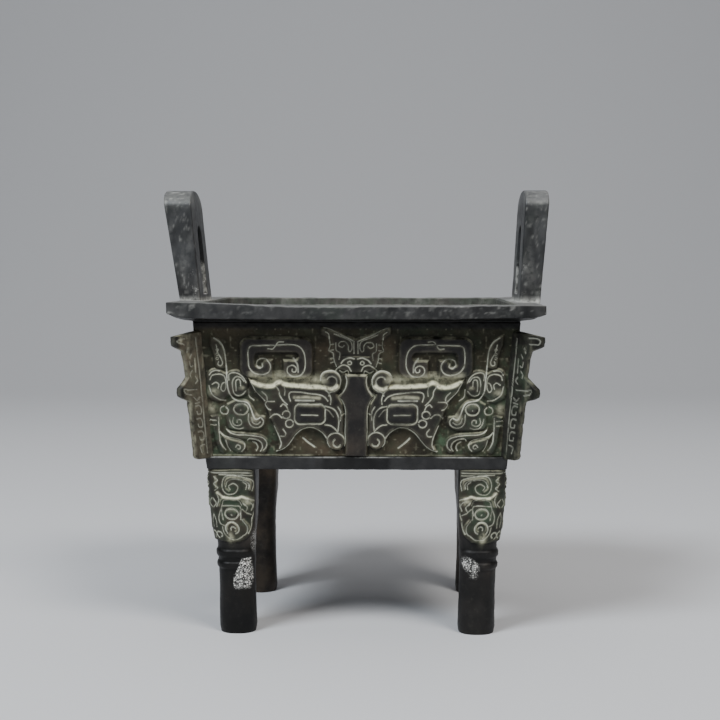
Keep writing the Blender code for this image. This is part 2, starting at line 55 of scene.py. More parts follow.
# Ears; for each one how far its foot and its top stand out, and its top's thickness
EAR_FOOT_WIDTH = 0.0430
EAR_SPRING_WIDTH = 0.0400
EAR_HEIGHT = 0.0581
EAR_ARCH = 0.0090
EAR_SLOT_WIDTH = 0.0130
EAR_SLOT_SILL = 0.0040
EAR_SLOT_HEIGHT = 0.0355
EAR_FOOT_THICKNESS = 0.0108
EAR_ROOT = 0.0022
LEFT_EAR = (0.0011, 0.0104, 0.0146)
RIGHT_EAR = (0.0028, 0.0077, 0.0125)

# Legs
LEG_HEIGHT = 0.0845
LEG_TOP_WIDTH = 0.0240
LEG_SETBACK = -0.0003
LEG_LEAN_IN = 0.0014
BACK_LEG_SHIFT = 0.0032
LEG_MASK_HEIGHT = 0.0375
LEG_MASK_THICKNESS = 0.0011

# Corner flanges: reach of the plain edge, and of the upper and lower hook on each side
FLANGE_THICKNESS = 0.0046
FLANGE_HEIGHT = 0.0635
FLANGE_DROP = 0.0010
FLANGE_REACH = 0.0077
LEFT_HOOKS = (0.0139, 0.0135)
RIGHT_HOOKS = (0.0157, 0.0159)
FLANGE_ROOT = 0.0030

BOTTOM = LEG_HEIGHT
PANEL_BOTTOM = BOTTOM + BAND_HEIGHT
PANEL_HEIGHT = BODY_DEPTH - BAND_HEIGHT
NECK = BOTTOM + BODY_DEPTH
RIM_LOW = NECK + RIM_UNDERSIDE_RISE
RIM_TOP = RIM_LOW + RIM_EDGE
LENGTH_FLARE = (BODY_TOP[0] - BODY_BOTTOM[0]) / 2 / BODY_DEPTH
WIDTH_FLARE = (BODY_TOP[1] - BODY_BOTTOM[1]) / 2 / BODY_DEPTH
CENTRE_X = (LEFT_EAR[1] - RIGHT_EAR[1]) / 2

# Relief heights in millimetres over the ground
PLATE = 1.40
EYE_SWELL = 0.8
GROOVE_DEPTH = 0.50
GROOVE_HALF = 0.23
GROUND_WAVE = 0.12

# Panels: how far their backs reach into the wall, and their gap to the corner, in metres
PANEL_ROOT = 0.0016
PANEL_GAP = 0.0003

# Edges sharper than this are creased, on the carved pieces and on the vessel's shell
RELIEF_SHARP_ANGLE = math.radians(70)
SHELL_SHARP_ANGLE = math.radians(35)

# Half width and height of a mask's drawing, in its own units
LONG_DRAWING = (75.5, 66.0)
SHORT_DRAWING = (61.0, 66.0)

# Grid steps of the carved panels
FRONT_STEP = 0.00023
BACK_STEP = 0.00050
END_STEP = 0.00052

# A leg in millimetres: half width against level, then level, half height and reach of each ring
LEG_HALF_WIDTHS = (
    (0, 9.4), (12, 9.25), (20, 9.05), (30, 9.1), (46, 9.5), (52, 10), (58, 10.6), (66, 11), (84.5, 11.4),
    (86, 11.4),
)
LEG_RINGS = ((35.0, 1.6, 0.85), (41.0, 1.9, 0.95))
LEG_MASK_DRAWN = 35.0

# Bronze on the carved and on the plain pieces: dark, light, and the pale colour of the deposit on it, which
# also paints highlights
CARVED_TONES = (0.011, 0.011, 0.012), (0.026, 0.0255, 0.025), (0.66, 0.65, 0.46)
PLAIN_TONES = (0.050, 0.052, 0.055), (0.106, 0.109, 0.112), (0.72, 0.72, 0.67)

# The rim's front edge, in millimetres off its true levels, against share of its half length
RIM_TOP_RUN = (
    (-1, 1.15), (-0.87, 1.1), (-0.76, 0.8), (-0.5, -0.3), (-0.29, -0.94), (0, -0.97), (0.23, -0.67),
    (0.5, -0.75), (0.76, -0.54), (0.91, -0.34), (1, -0.23),
)
RIM_LOW_RUN = (
    (-1, 1.3), (-0.95, 0.1), (-0.87, -0.7), (-0.5, -1.1), (0, -1.24), (0.5, -0.95), (0.9, -0.5),
    (0.95, 0.1), (1, 0.95),
)


# Noise

def noise(points, size, seed):
    """Smooth noise from -1 to 1 at points in metres, with features about size metres across."""
    count = 32
    lattice = np.random.default_rng(seed).random((count, count, count)) * 2 - 1
    place = np.asarray(points) / size + 7.3
    cell = np.floor(place).astype(int)
    part = place - cell
    part = part * part * (3 - 2 * part)
    total = 0.0
    for corner in range(8):
        step = np.array([corner & 1, corner >> 1 & 1, corner >> 2 & 1])
        weight = np.prod(np.where(step, part, 1 - part), axis=-1)
        index = (cell + step) % count
        total = total + weight * lattice[index[..., 0], index[..., 1], index[..., 2]]
    return total


def rough(points, size, seed, octaves=3):
    """Noise with finer and weaker noise on it."""
    total = 0.0
    for octave in range(octaves):
        total = total + noise(points, size / 2 ** octave, seed + octave) / 2 ** octave
    return total


def step_up(value, low, high):
    """From 0 at low to 1 at high, smoothly."""
    share = np.clip((value - low) / (high - low), 0, 1)
    return share * share * (3 - 2 * share)


def patches(points, size, seed, low, high, octaves=3):
    """Soft-edged patches, from 0 to 1."""
    return step_up(rough(points, size, seed, octaves), low, high)


def blurred(field, cells):
    """A field averaged over a square of cells each way, twice."""
    for axis in (0, 1, 0, 1):
        edge = [(cells, cells) if index == axis else (0, 0) for index in range(2)]
        run = np.cumsum(np.pad(field, edge, mode="edge"), axis=axis)
        run = np.insert(run, 0, 0.0, axis=axis)
        span = 2 * cells + 1
        start = np.arange(field.shape[axis])
        field = (np.take(run, start + span, axis=axis) - np.take(run, start, axis=axis)) / span
    return field


# Paths on a carving grid

def smooth(points, steps=5):
    """A smooth path through a few points."""
    points = np.array(points, float)
    padded = np.vstack([2 * points[0] - points[1], points, 2 * points[-1] - points[-2]])
    share = np.linspace(0, 1, steps, endpoint=False)[:, None]
    path = []
    for index in range(1, len(padded) - 2):
        p0, p1, p2, p3 = padded[index - 1:index + 3]
        bend = 2 * p1 + (p2 - p0) * share
        bend = bend + (2 * p0 - 5 * p1 + 4 * p2 - p3) * share ** 2
        path.append((bend + (3 * p1 - p0 - 3 * p2 + p3) * share ** 3) / 2)
    return np.vstack(path + [points[-1:]])


def arc(centre, radius, start, end, steps=12, growth=0.0):
    """An arc, angles in degrees; growth opens or closes it into a scroll."""
    share = np.linspace(0, 1, steps + 1)
    angle = np.radians(start + (end - start) * share)
    reach = radius + growth * share
    return np.stack([centre[0] + reach * np.cos(angle), centre[1] + reach * np.sin(angle)], axis=1)


def rounded(left, right, low, high, radius, steps=5):
    """A rectangle with rounded corners."""
    corners = (
        ((right - radius, high - radius), 0),
        ((left + radius, high - radius), 90),
        ((left + radius, low + radius), 180),
        ((right - radius, low + radius), 270),
    )
    return np.vstack([arc(centre, radius, turn, turn + 90, steps) for centre, turn in corners])


def distance(across, up, path, closed=False):
    """Distance from each place to a path of straight steps."""
    path = np.asarray(path, float)
    ends = np.roll(path, -1, axis=0) if closed else path[1:]
    starts = path if closed else path[:-1]
    nearest = np.full(across.shape, np.inf)
    for (x0, y0), (x1, y1) in zip(starts, ends):
        dx, dy = x1 - x0, y1 - y0
        share = ((across - x0) * dx + (up - y0) * dy) / (dx * dx + dy * dy + 1e-9)
        share = np.clip(share, 0, 1)
        nearest = np.minimum(nearest, np.hypot(across - x0 - share * dx, up - y0 - share * dy))
    return nearest


def inside_depth(across, up, outline):
    """Depth inside a closed outline; negative outside it."""
    outline = np.asarray(outline, float)
    hit = np.zeros(across.shape, bool)
    for (x0, y0), (x1, y1) in zip(outline, np.roll(outline, -1, axis=0)):
        if y0 == y1:
            continue
        crosses = (y0 > up) != (y1 > up)
        hit ^= crosses & (across < (x1 - x0) * (up - y0) / (y1 - y0) + x0)
    edge = distance(across, up, outline, closed=True)
    return np.where(hit, edge, -edge)


class Relief:
    """Height, in millimetres, and finish of a carved face, on places given in grid units."""

    def __init__(self, across, up):
        self.across = across
        self.up = up
        for channel in ("height", "polish", "powder", "pale", "green", "brown", "raised"):
            setattr(self, channel, np.zeros(across.shape))

    def lift(self, channel, spot, value):
        """Bring a channel up to a value."""
        field = getattr(self, channel)
        field[spot] = np.maximum(field[spot], value)

    def near(self, path, margin):
        """The grid places within a margin of a path's box."""
        low = np.min(path, axis=0) - margin
        high = np.max(path, axis=0) + margin
        within = (self.across > low[0]) & (self.across < high[0])
        within &= (self.up > low[1]) & (self.up < high[1])
        return np.nonzero(within)

    def plate(self, outline, height=PLATE, polish=1.0, slope=0.60, holes=()):
        """Raise the ground inside an outline, but for its holes."""
        spot = self.near(outline, 1.5)
        depth = inside_depth(self.across[spot], self.up[spot], outline)
        for hole in holes:
            depth = np.minimum(depth, -inside_depth(self.across[spot], self.up[spot], hole))
        rise = step_up(depth, -slope, slope)
        crown = 0.22 * (1 - np.exp(-np.maximum(depth, 0) / 1.8))
        self.lift("height", spot, height * rise + crown)
        self.lift("polish", spot, polish * step_up(depth, -0.1, 0.7))
        self.lift("raised", spot, rise)

    def swell(self, outline, height):
        """A pillow inside an outline."""
        spot = self.near(outline, 0.5)
        depth = np.maximum(inside_depth(self.across[spot], self.up[spot], outline), 0)
        self.height[spot] += height * (1 - np.exp(-depth / 1.1))
        self.lift("polish", spot, step_up(depth, 0.2, 0.9))

    def groove(self, path, half=GROOVE_HALF, depth=GROOVE_DEPTH, powder=1.0):
        """A narrow groove with pale powder in it, and a thin haze of the powder beside it."""
        spot = self.near(path, 2.6)
        away = distance(self.across[spot], self.up[spot], path)
        self.height[spot] -= depth * np.exp(-(away / half) ** 2)
        self.lift("powder", spot, powder * np.exp(-(away / (half * 1.08)) ** 4))
        self.lift("pale", spot, 0.06 * powder * np.exp(-(away / 0.9) ** 2))

    def cut(self, *lines, steps=5, **how):
        """Grooves along smooth lines through a few points each."""
        for line in lines:
            self.groove(smooth(line, steps), **how)

    def roll(self, path, height, half, pale):
        """A rounded ridge along a path, with pale deposit and a painted highlight on its upper side."""
        spot = self.near(path, 3.0)
        away = distance(self.across[spot], self.up[spot], path)
        self.height[spot] += height * np.exp(-(away / half) ** 2)
        above = distance(self.across[spot], self.up[spot], np.asarray(path) + (0.0, 0.45 * half))
        self.lift("pale", spot, pale * np.exp(-(above / (0.75 * half)) ** 2))

    def bulge(self, centre, size, height, pale):
        """A round boss with pale deposit and a painted highlight on it."""
        spot = self.near([centre], 3 * max(size))
        away = np.hypot((self.across[spot] - centre[0]) / size[0], (self.up[spot] - centre[1]) / size[1])
        self.height[spot] += height * np.exp(-away ** 2)
        self.lift("pale", spot, pale * np.exp(-away ** 2))

    def stain(self, centre, size, amount, channel="green"):
        """A soft oval of green, brown or pale."""
        away = np.hypot((self.across - centre[0]) / size[0], (self.up - centre[1]) / size[1])
        self.lift(channel, slice(None), amount * np.exp(-away ** 2))


# The half mask, measured out from the middle of a long side and up from the foot of its panel

def horn(relief):
    outline = rounded(20.6, 55.9, 38.9, 58.4, 4.6)
    bar = np.vstack([
        [(34.9, 36), (34.9, 47.4)], arc((29.2, 49.3), 1.9, 270, 90), arc((46.6, 49.3), 1.9, 90, 0),
        arc((46.4, 46.2), 2.2, 0, -110), [(44.4, 46.4), (44, 47.4), (40, 47.4), (40, 36)],
    ])
    relief.plate(outline, holes=[bar])
    relief.cut(
        [(39.3, 54.8), (46, 54.8), (50.4, 54.5), (51.8, 52.4), (51.9, 48), (51.4, 44.2), (49.2, 41.6),
         (45.6, 40.6), (42.4, 41.4), (41, 43.8), (41.8, 46.6), (44.4, 48.2), (47.2, 47.4), (47.9, 45.2),
         (46.4, 43.7), (44.8, 44.5), (45.2, 45.8)],
        [(38.2, 54.9), (32, 55.1), (27.6, 54.4), (25, 51.6), (24.2, 47.2), (24.6, 43.2), (26.6, 40.4),
         (30.2, 39.8), (32.9, 41.6), (32.6, 44.2), (30.4, 45.2), (28.5, 43.8), (29, 42), (30.5, 42.2),
         (30.6, 43.3)],
        [(42.2, 53.2), (40, 53), (38.6, 54.6), (37.4, 56.3), (34.8, 56.4)],
    )
    relief.cut([(30, 48.4), (28, 45.6), (27.6, 42)], half=0.39, depth=0.3, powder=0.55)


def face(relief):
    brow = [(52.6, 39.2), (50.2, 36.9), (46.8, 35.2), (43, 34.6), (40.2, 34.9), (38.4, 36.4), (36.4, 36.7)]
    brow += [(34.2, 35.6), (28, 35.1), (20, 34.8), (15.6, 34.5)]
    scroll = arc((12.3, 37.9), 4.6, -40, 215, 14)
    muzzle = [(8, 33.2), (9.8, 31.2), (8.6, 29), (6.9, 26.2), (6.2, 22), (6.2, 13)]
    chin = arc((9.8, 8), 4.2, 175, 340, 10)
    lip = [(16.4, 12.4), (19.4, 14.3), (22.6, 14.9), (25.6, 14.2), (28.8, 11.8), (31.4, 8.4), (34.2, 5.2),
           (38.8, 2.6)]
    back = [(37, 6), (37.6, 10), (39.2, 15), (41.8, 20), (43.4, 24.6), (45.4, 28.2), (48.8, 32)]
    outline = np.vstack([smooth(brow, 3), scroll, muzzle, chin, smooth(lip, 3), back])
    relief.plate(outline, height=PLATE + 0.25, polish=0.72, slope=0.55)
    ridge = brow[1:] + [(13.4, 33.6), (11, 33.6), (9.2, 34.8)]
    relief.roll(smooth(ridge) - (0, 0.5), 0.8, 1.25, 1.0)
    # A flat band of painted highlight with pale deposit above the brow ridge.
    relief.roll(smooth(brow[1:]) + (0, 2.4), 0.0, 2.6, 0.42)
    relief.roll([(29.6, 28.9), (24, 29.4), (17.6, 28.9)], 0.25, 1.1, 0.5)
    relief.groove(arc((12.2, 37.8), 3.4, -90, -330, 14, -1.6), half=0.34, depth=0.5, powder=0.45)
    relief.groove([(29.2, 28.2), (20.2, 28.3)], half=0.45, depth=0.3, powder=0.8)
    relief.cut(
        [(17, 38), (16.8, 39.9), (15.2, 41.8), (11.8, 42.6), (9, 41.1), (7.6, 38.1), (8.1, 34.9),
         (10.3, 32.8), (12.6, 31.9), (13.2, 30.4)],
        [(14.6, 33.4), (13, 31.4), (12.2, 28.6), (12.4, 26.4)],
        [(31.8, 27.8), (32.6, 30.4), (31.6, 32.1), (27.5, 32.3), (22.9, 31.9), (18, 31.2), (15.2, 30),
         (13.6, 28)],
        [(14.8, 25.5), (11.8, 24.6), (9.8, 22.7), (8.7, 20), (8.5, 16.4), (8.8, 12.9)],
        [(15, 16.3), (12.4, 15.9), (10.2, 14.4), (8.9, 12.9)],
    )
    relief.cut([(15.2, 24.2), (13.2, 23.2), (11, 20.2)], depth=0.25, powder=0.25)


def eye(relief, left=14.9, right=29.7, low=16.6, high=26.6):
    outline = rounded(left, right, low, high, 2.8)
    relief.groove(np.vstack([outline, outline[:1]]), half=0.28, depth=0.7)
    relief.swell(rounded(left + 0.5, right - 0.5, low + 0.5, high - 0.5, 2.5), EYE_SWELL)
    middle = (low + high) / 2 - 0.4
    relief.groove([(right - 3.4, middle + 0.1), (left + 3.4, middle - 0.1)], powder=0.95)


def cheek(relief):
    relief.cut(
        [(51.2, 37), (50.1, 34.8), (48.7, 32.1), (46.4, 29.8), (44.3, 27.8)],
        [(45.6, 32.2), (43.6, 30.2), (43.3, 28), (44.2, 26), (43, 24.2), (41.4, 23.6)],
        [(39.2, 35.4), (37.5, 32.8), (37.2, 30.7), (35.6, 28.2), (33.3, 26)],
        [(36.5, 25.2), (35.3, 26.3), (33.7, 25.2), (33, 23.4)],
        [(41.8, 19.4), (40.2, 21.2), (37.8, 21.4), (35.8, 19.8)],
        [(39.6, 15.6), (38.1, 12.4), (37, 9.6), (36.5, 6.7), (37.3, 4.4)],
        [(35.2, 14.2), (34, 12.3), (34.6, 10.8), (36.4, 10.7)],
    )
    relief.groove([(43.4, 27.6), (39.6, 27.6)], powder=0.8)
    relief.cut([(34.8, 35), (34.6, 32.6), (34.8, 30.6)], powder=0.7)
    relief.groove(arc((33.7, 21.3), 1.9, 0, 330))
    relief.groove(arc((32.1, 17), 1.9, 160, -170))


def jaw(relief):
    relief.cut([
        (13.9, 6.6), (14.2, 9.4), (16.2, 11.9), (18.7, 13.6), (21.2, 14.5), (23.8, 14.4), (26.6, 13.3),
        (29.4, 11), (31.4, 8.4), (33.6, 5.7), (36.3, 3.7), (39, 3),
    ])
    relief.cut([(26, 9.4), (23.8, 7.3), (20.6, 4.8)], half=0.34)
    relief.groove(arc((9.8, 8.1), 4.3, 200, -45, 16))
    curl = arc((9.4, 7.4), 1.9, 60, -150, 10)
    relief.groove(curl, half=0.28)
    relief.plate(arc((9.8, 7.6), 3.7, 0, 360, 18)[:-1], polish=0.8)
    relief.groove(curl, half=0.28, powder=0.9)


def nose(relief):
    half = [(5.4, -1), (5.4, 17), (5.4, 22.4), (5.9, 25.4), (7, 27.6), (8.6, 29.7), (6.9, 31.6), (5.4, 34)]
    half += [(4.7, 37.2), (5, 40.4)]
    relief.plate(half + [(-across, up) for across, up in reversed(half)], height=PLATE + 0.1)
    relief.cut(
        [(5, 39.8), (4.7, 37.2), (5.4, 34), (6.9, 31.6), (8.7, 29.8), (7, 27.6), (5.8, 25.1)],
        [(9, 25), (7.7, 22.8), (7.3, 21.3), (5.6, 21.4)],
    )
    relief.cut([(5.8, 25.1), (5.3, 22.4), (5.4, 14.1), (5.3, 8), (5.8, 5.6)], powder=0.9)
    relief.groove([(7.3, 21.3), (7.7, 18.4)], powder=0.8)


def crown(relief):
    relief.plate([(16.8, 63.6), (16.8, 60.4), (12, 57.6), (11.6, 50.6), (8.4, 43), (-1, 41), (-1, 57.4)],
                 height=PLATE * 0.75, polish=0.45)
    relief.cut([(15.6, 63.2), (12.3, 62.2), (3.5, 58), (0.9, 56.7)], powder=0.75)
    relief.groove([(1, 56.6), (1, 51)], powder=0.7)
    relief.groove([(6, 49.8), (-1, 49.8)], half=0.50, powder=0.0)
    scroll = [(10.4, 60.2), (3.6, 57.4), (2, 55.6), (1.9, 53.2), (2.8, 51.8), (3.6, 52.6), (3.7, 54.7)]
    scroll += [(5.2, 56.4), (7.6, 56.4), (8.3, 54.7), (6.6, 53.8), (5.6, 54.6)]
    relief.cut(scroll, steps=3, half=0.19, powder=0.7)
    strip = [(14.7, 61.3), (13.2, 60.2), (12.8, 58), (12.3, 54.4), (13, 52.1), (10.8, 51), (10.4, 47.7),
             (9.3, 44.4)]
    relief.cut(strip, steps=3, half=0.20, powder=0.8)
    relief.cut([(9.6, 56), (9.4, 52.4), (7.6, 51), (8, 48)], steps=3, half=0.19, powder=0.6)
    for level in (46.6, 48.6, 52.6, 55.4):
        relief.groove([(10.6, level), (12, level - 0.3)], half=0.20, powder=0.7)
    brow = [(9.8, 42.6), (8, 44.4), (6, 45.4), (3.5, 44.6), (2.2, 42.2)]
    relief.cut(brow, [(8, 42.4), (6.2, 41.4), (4, 42.5), (3.4, 40.6)], steps=3, half=0.21)
    relief.cut([(0.8, 48.4), (3, 48.9), (5.6, 47.8), (7, 46.2)], steps=3, half=0.28, powder=0.9)
    relief.groove(arc((2.9, 46.4), 0.9, 0, 330, 8), half=0.20)


def plume(relief):
    outline = [(70.4, 60), (66.2, 57.6), (64, 53), (63.2, 46), (63.4, 43.8), (67.6, 43.8), (68.6, 50),
               (70.4, 55)]
    relief.plate(smooth(outline, 2), height=PLATE * 0.7, polish=0.35)
    stem = [(68.5, 58.6), (65.8, 56.7), (63.9, 53.4), (63, 48.4), (62.6, 43.7), (62.3, 39), (62.1, 34.6)]
    stem += [(61.3, 31.3), (59.8, 28.7), (57.4, 27.6), (54.3, 27.1), (52.4, 26), (51, 23.2), (50.1, 20.8)]
    stem += [(48.7, 18.8), (46.6, 19.6)]
    relief.cut(stem, steps=4, half=0.27)
    barb = [(67.4, 55.2), (66.6, 51.4), (65, 48.6), (64.4, 46.4), (65.2, 45.2), (66.6, 45.7), (66.2, 47.2)]
    relief.cut(barb, steps=4, half=0.21, powder=0.9)
    for level in (48.8, 50.8, 52.8):
        relief.groove(arc((66.9, level), 0.6, 0, 300, 6), half=0.17, powder=0.6)


def dragon(relief):
    """The dragon beside the mask: its forms, then the lines on them, its eye and its bosses."""
    forms = (
        [(52.8, 31), (52.6, 38.2), (56.2, 42.4), (60.4, 42.4), (63, 41.2), (66.8, 43.4), (71, 42.4),
         (72.2, 36), (71.6, 29.4), (66, 26.8), (61, 30.4), (57, 29.2)],
        [(62.6, 26), (58, 28), (53.4, 27.6), (50.2, 24.4), (47.6, 20.6), (44.2, 20), (44.2, 16.2),
         (48.2, 13.4), (56, 13.4), (62, 14.2), (63.2, 19.6)],
        [(63.6, 14.6), (61.2, 12.8), (53.3, 12), (48, 11.4), (44.4, 9.8), (43, 7), (44, 2.4), (46.6, 2.4),
         (47, 6.6), (50, 8.4), (57.6, 9.2), (62, 10.4)],
        [(67.2, 13.2), (64, 10), (60.6, 8.6), (56.6, 7.6), (54, 5.4), (55.4, 2.2), (59.6, 2.8), (62.4, 5.4)],
        [(70.6, 20), (66, 20), (66, 10), (64, 2), (66.4, 2), (68.4, 8)],
    )
    for outline in forms:
        relief.plate(smooth(outline + outline[:1], 3), height=PLATE * 0.55, polish=0.70)
    relief.cut(
        [(53.6, 32.4), (55.2, 30.7), (57.5, 30.2), (59.3, 31.6), (59.8, 36.8), (58.4, 39.4), (56.1, 39.3),
         (54.3, 37.2)],
        [(61.4, 37.8), (61.4, 40.6), (59.4, 41.7), (56.6, 41), (54.6, 39), (53.4, 36.6)],
        [(58.2, 32.6), (58.3, 36.9), (57.4, 38.2), (56.3, 37.8), (56, 35)],
        [(70.8, 40.6), (69.7, 42.2), (67.9, 42.8), (66, 42.5)],
        [(70.4, 38.2), (69.5, 40.3), (66.7, 41), (64, 40.2), (63, 38), (63, 33.8), (64.2, 32.2),
         (65.3, 33.6), (64.6, 36), (63.6, 36.6)],
        [(71, 35), (70, 31.7), (68.8, 29.9), (66, 28.2), (63.4, 27.6)],
        [(69.4, 35.8), (67.6, 36.8), (66.2, 35.6), (66.6, 33.8)],
        [(52.4, 21.3), (52.3, 18), (50.6, 15.4), (47.9, 15), (45.6, 16.1), (45, 18), (46, 19.6)],
        [(50.9, 19.6), (50.2, 17.4), (48.2, 16.6), (46.6, 17.6)],
        [(61.6, 19.2), (60.9, 16.6), (59.3, 14.8), (57, 14.2), (55, 14.8)],
        [(59.6, 19.6), (60, 17.2), (58.2, 15.8), (55.9, 16.6), (56.2, 18.6), (57.8, 18.6), (57.9, 17.4)],
        [(63.2, 13.9), (61.2, 12.2), (57.9, 11.3), (53.3, 11.2), (48.7, 10.6), (45.4, 9.6), (43.8, 7.6),
         (43.9, 5.2), (45.4, 3.6)],
        [(66.5, 12.8), (64.4, 10.6), (60.7, 9.4), (57, 8.5), (54.8, 7), (54.6, 4.8), (56, 3)],
        [(58.8, 5), (57.8, 6.3), (56.6, 5.4), (57, 4.2), (58, 4.4)],
        [(66.7, 19.6), (66.7, 15), (66.2, 8.6), (65.1, 5.3), (63.7, 3.2)],
        [(63.4, 8.4), (62.6, 5), (61.4, 2.8)],
        [(53.2, 8.2), (52.3, 9.3), (50.6, 9.3), (48.3, 8.6), (46.4, 7.2), (45.8, 4.9), (46.8, 3)],
        [(50.6, 7.6), (49, 6.8), (48.2, 4.8), (48.8, 3.2)],
        [(72, 17.6), (70.9, 18.3), (67.8, 18.2)],
        [(71.8, 15.9), (67.9, 16)],
        [(63.2, 24.6), (62, 23.4), (62.6, 21.6), (64.6, 21.2), (66, 22.4), (65.6, 24.2), (64.2, 25)],
        [(49.8, 27.8), (52, 29.6), (52.4, 33)],
        steps=4, half=0.22, powder=0.95,
    )
    eye(relief, 52.6, 59.4, 21.2, 26.4)
    bosses = (((68.6, 31.8), (2.3, 1.7)), ((69.8, 23.9), (1.9, 2.2)), ((49.2, 19.2), (2, 2)),
              ((55.4, 33.8), (1.3, 0.9)))
    for centre, size in bosses:
        relief.bulge(centre, size, 0.30, 0.42)


def ground(relief, places, seed):
    """The low ground, pitted by the casting and unevenly worn."""
    low = 1 - relief.raised
    relief.height += GROUND_WAVE * rough(places, 0.0035, seed) * low
    relief.pale += 0.16 * patches(places, 0.0013, seed + 3, 0.35, 0.9, 1) * low
    relief.green += 0.16 * patches(places, 0.010, seed + 6, -0.4, 0.6) * low


def long_panel(relief):
    for draw in (horn, face, nose, crown, plume, dragon, eye, cheek, jaw):
        draw(relief)
    stains = (
        ((60, 18), (13, 20), 0.40, "green"),
        # The two pale ovals over the brow are painted highlight with pale deposit.
        ((24, 37.8), (3.6, 2.2), 0.30, "pale"),
        ((42.5, 38.6), (4.2, 2.6), 0.28, "pale"),
        ((20, 5), (12, 4.5), 0.45, "brown"),
        ((14, 53), (5, 7), 0.6, "brown"),
        ((41, 9), (3, 7), 0.9, "green"),
        ((70, 8), (3.6, 7), 0.8, "green"),
        ((73, 28), (3, 14), 0.6, "green"),
        ((42, 33), (9, 5), 0.35, "green"),
    )
    for stain in stains:
        relief.stain(*stain)


def short_panel(relief):
    for draw in (horn, face, nose, crown, eye, cheek, jaw):
        draw(relief)


# Meshes

def coats(polish, powder, pale, green, warm, crust, tone):
    """The colours for each point: relief, and patina with the tone as its fourth value; the tone carries
    painted shade and painted highlight as well as uneven darkening.
    """
    return {
        "relief": np.stack(np.broadcast_arrays(polish, powder, pale), axis=-1),
        "patina_and_shade": np.stack(np.broadcast_arrays(green, warm, crust, tone), axis=-1),
    }


def build_mesh(name, points, quads, loops, paint, sharp=RELIEF_SHARP_ANGLE):
    """A smooth-shaded mesh with its colours."""
    mesh = bpy.data.meshes.new(name)
    faces = [tuple(quad) for quad in np.asarray(quads).tolist()] + [tuple(loop) for loop in loops]
    mesh.from_pydata(np.asarray(points).tolist(), [], faces)
    mesh.shade_smooth()
    mesh.set_sharp_from_angle(angle=sharp)
    for label, colours in paint.items():
        layer = mesh.color_attributes.new(label, "FLOAT_COLOR", "POINT")
        flat = np.ones((len(points), 4))
        flat[:, :colours.shape[1]] = np.clip(colours, 0, 1)
        layer.data.foreach_set("color", flat.ravel())
    mesh.update()
    item = bpy.data.objects.new(name, mesh)
    bpy.context.scene.collection.objects.link(item)
    return item


def grid_quads(rows, columns, wrap=False, first=0):
    """The faces of a grid of points, closed round its rows or open."""
    index = first + np.arange(rows * columns).reshape(rows, columns)
    after = np.roll(index, -1, axis=1)
    if not wrap:
        index, after = index[:, :-1], after[:, :-1]
    return np.stack([index[:-1], after[:-1], after[1:], index[1:]], axis=-1).reshape(-1, 4)


def grid_border(rows, columns):
    """The points round the edge of a grid, in order."""
    return np.concatenate([
        np.arange(columns),
        np.arange(1, rows) * columns + columns - 1,
        rows * columns - 2 - np.arange(columns - 1),
        (rows - 2 - np.arange(rows - 2)) * columns,
    ])


def finish_piece(item, material):
    """Give a piece its material and its place in the frame."""
    item.data.materials.append(material)
    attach(item, "root")
    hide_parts(NODE)


def wall_frame(outward, half, flare, level):
    """Axes of a sloping wall: across it, up its slope and out of it, and its foot's middle."""
    outward = np.array(outward, float)
    tilt = math.atan(flare)
    across = np.cross((0, 0, 1), outward)
    up = outward * math.sin(tilt) + np.array((0, 0, math.cos(tilt)))
    return across, up, np.cross(across, up), outward * half + np.array((CENTRE_X, 0, level))


def slab(name, face, flat, out_axis, paint, material):
    """A grid of face points, closed by a skirt and a flat back inside the wall."""
    rows, columns = face.shape[:2]
    edge = grid_border(rows, columns)
    back = flat.reshape(-1, 3)[edge] - PANEL_ROOT * out_axis
    ring = rows * columns + np.arange(len(edge))
    skirt = np.stack([edge, ring, np.roll(ring, -1), np.roll(edge, -1)], axis=-1)
    quads = np.vstack([grid_quads(rows, columns), skirt])
    padded = {}
    for label, part in paint.items():
        channels = part.shape[-1]
        padded[label] = np.vstack([part.reshape(-1, channels), np.zeros((len(back), channels))])
    points = np.vstack([face.reshape(-1, 3), back])
    finish_piece(build_mesh(name, points, quads, [list(ring[::-1])], padded), material)


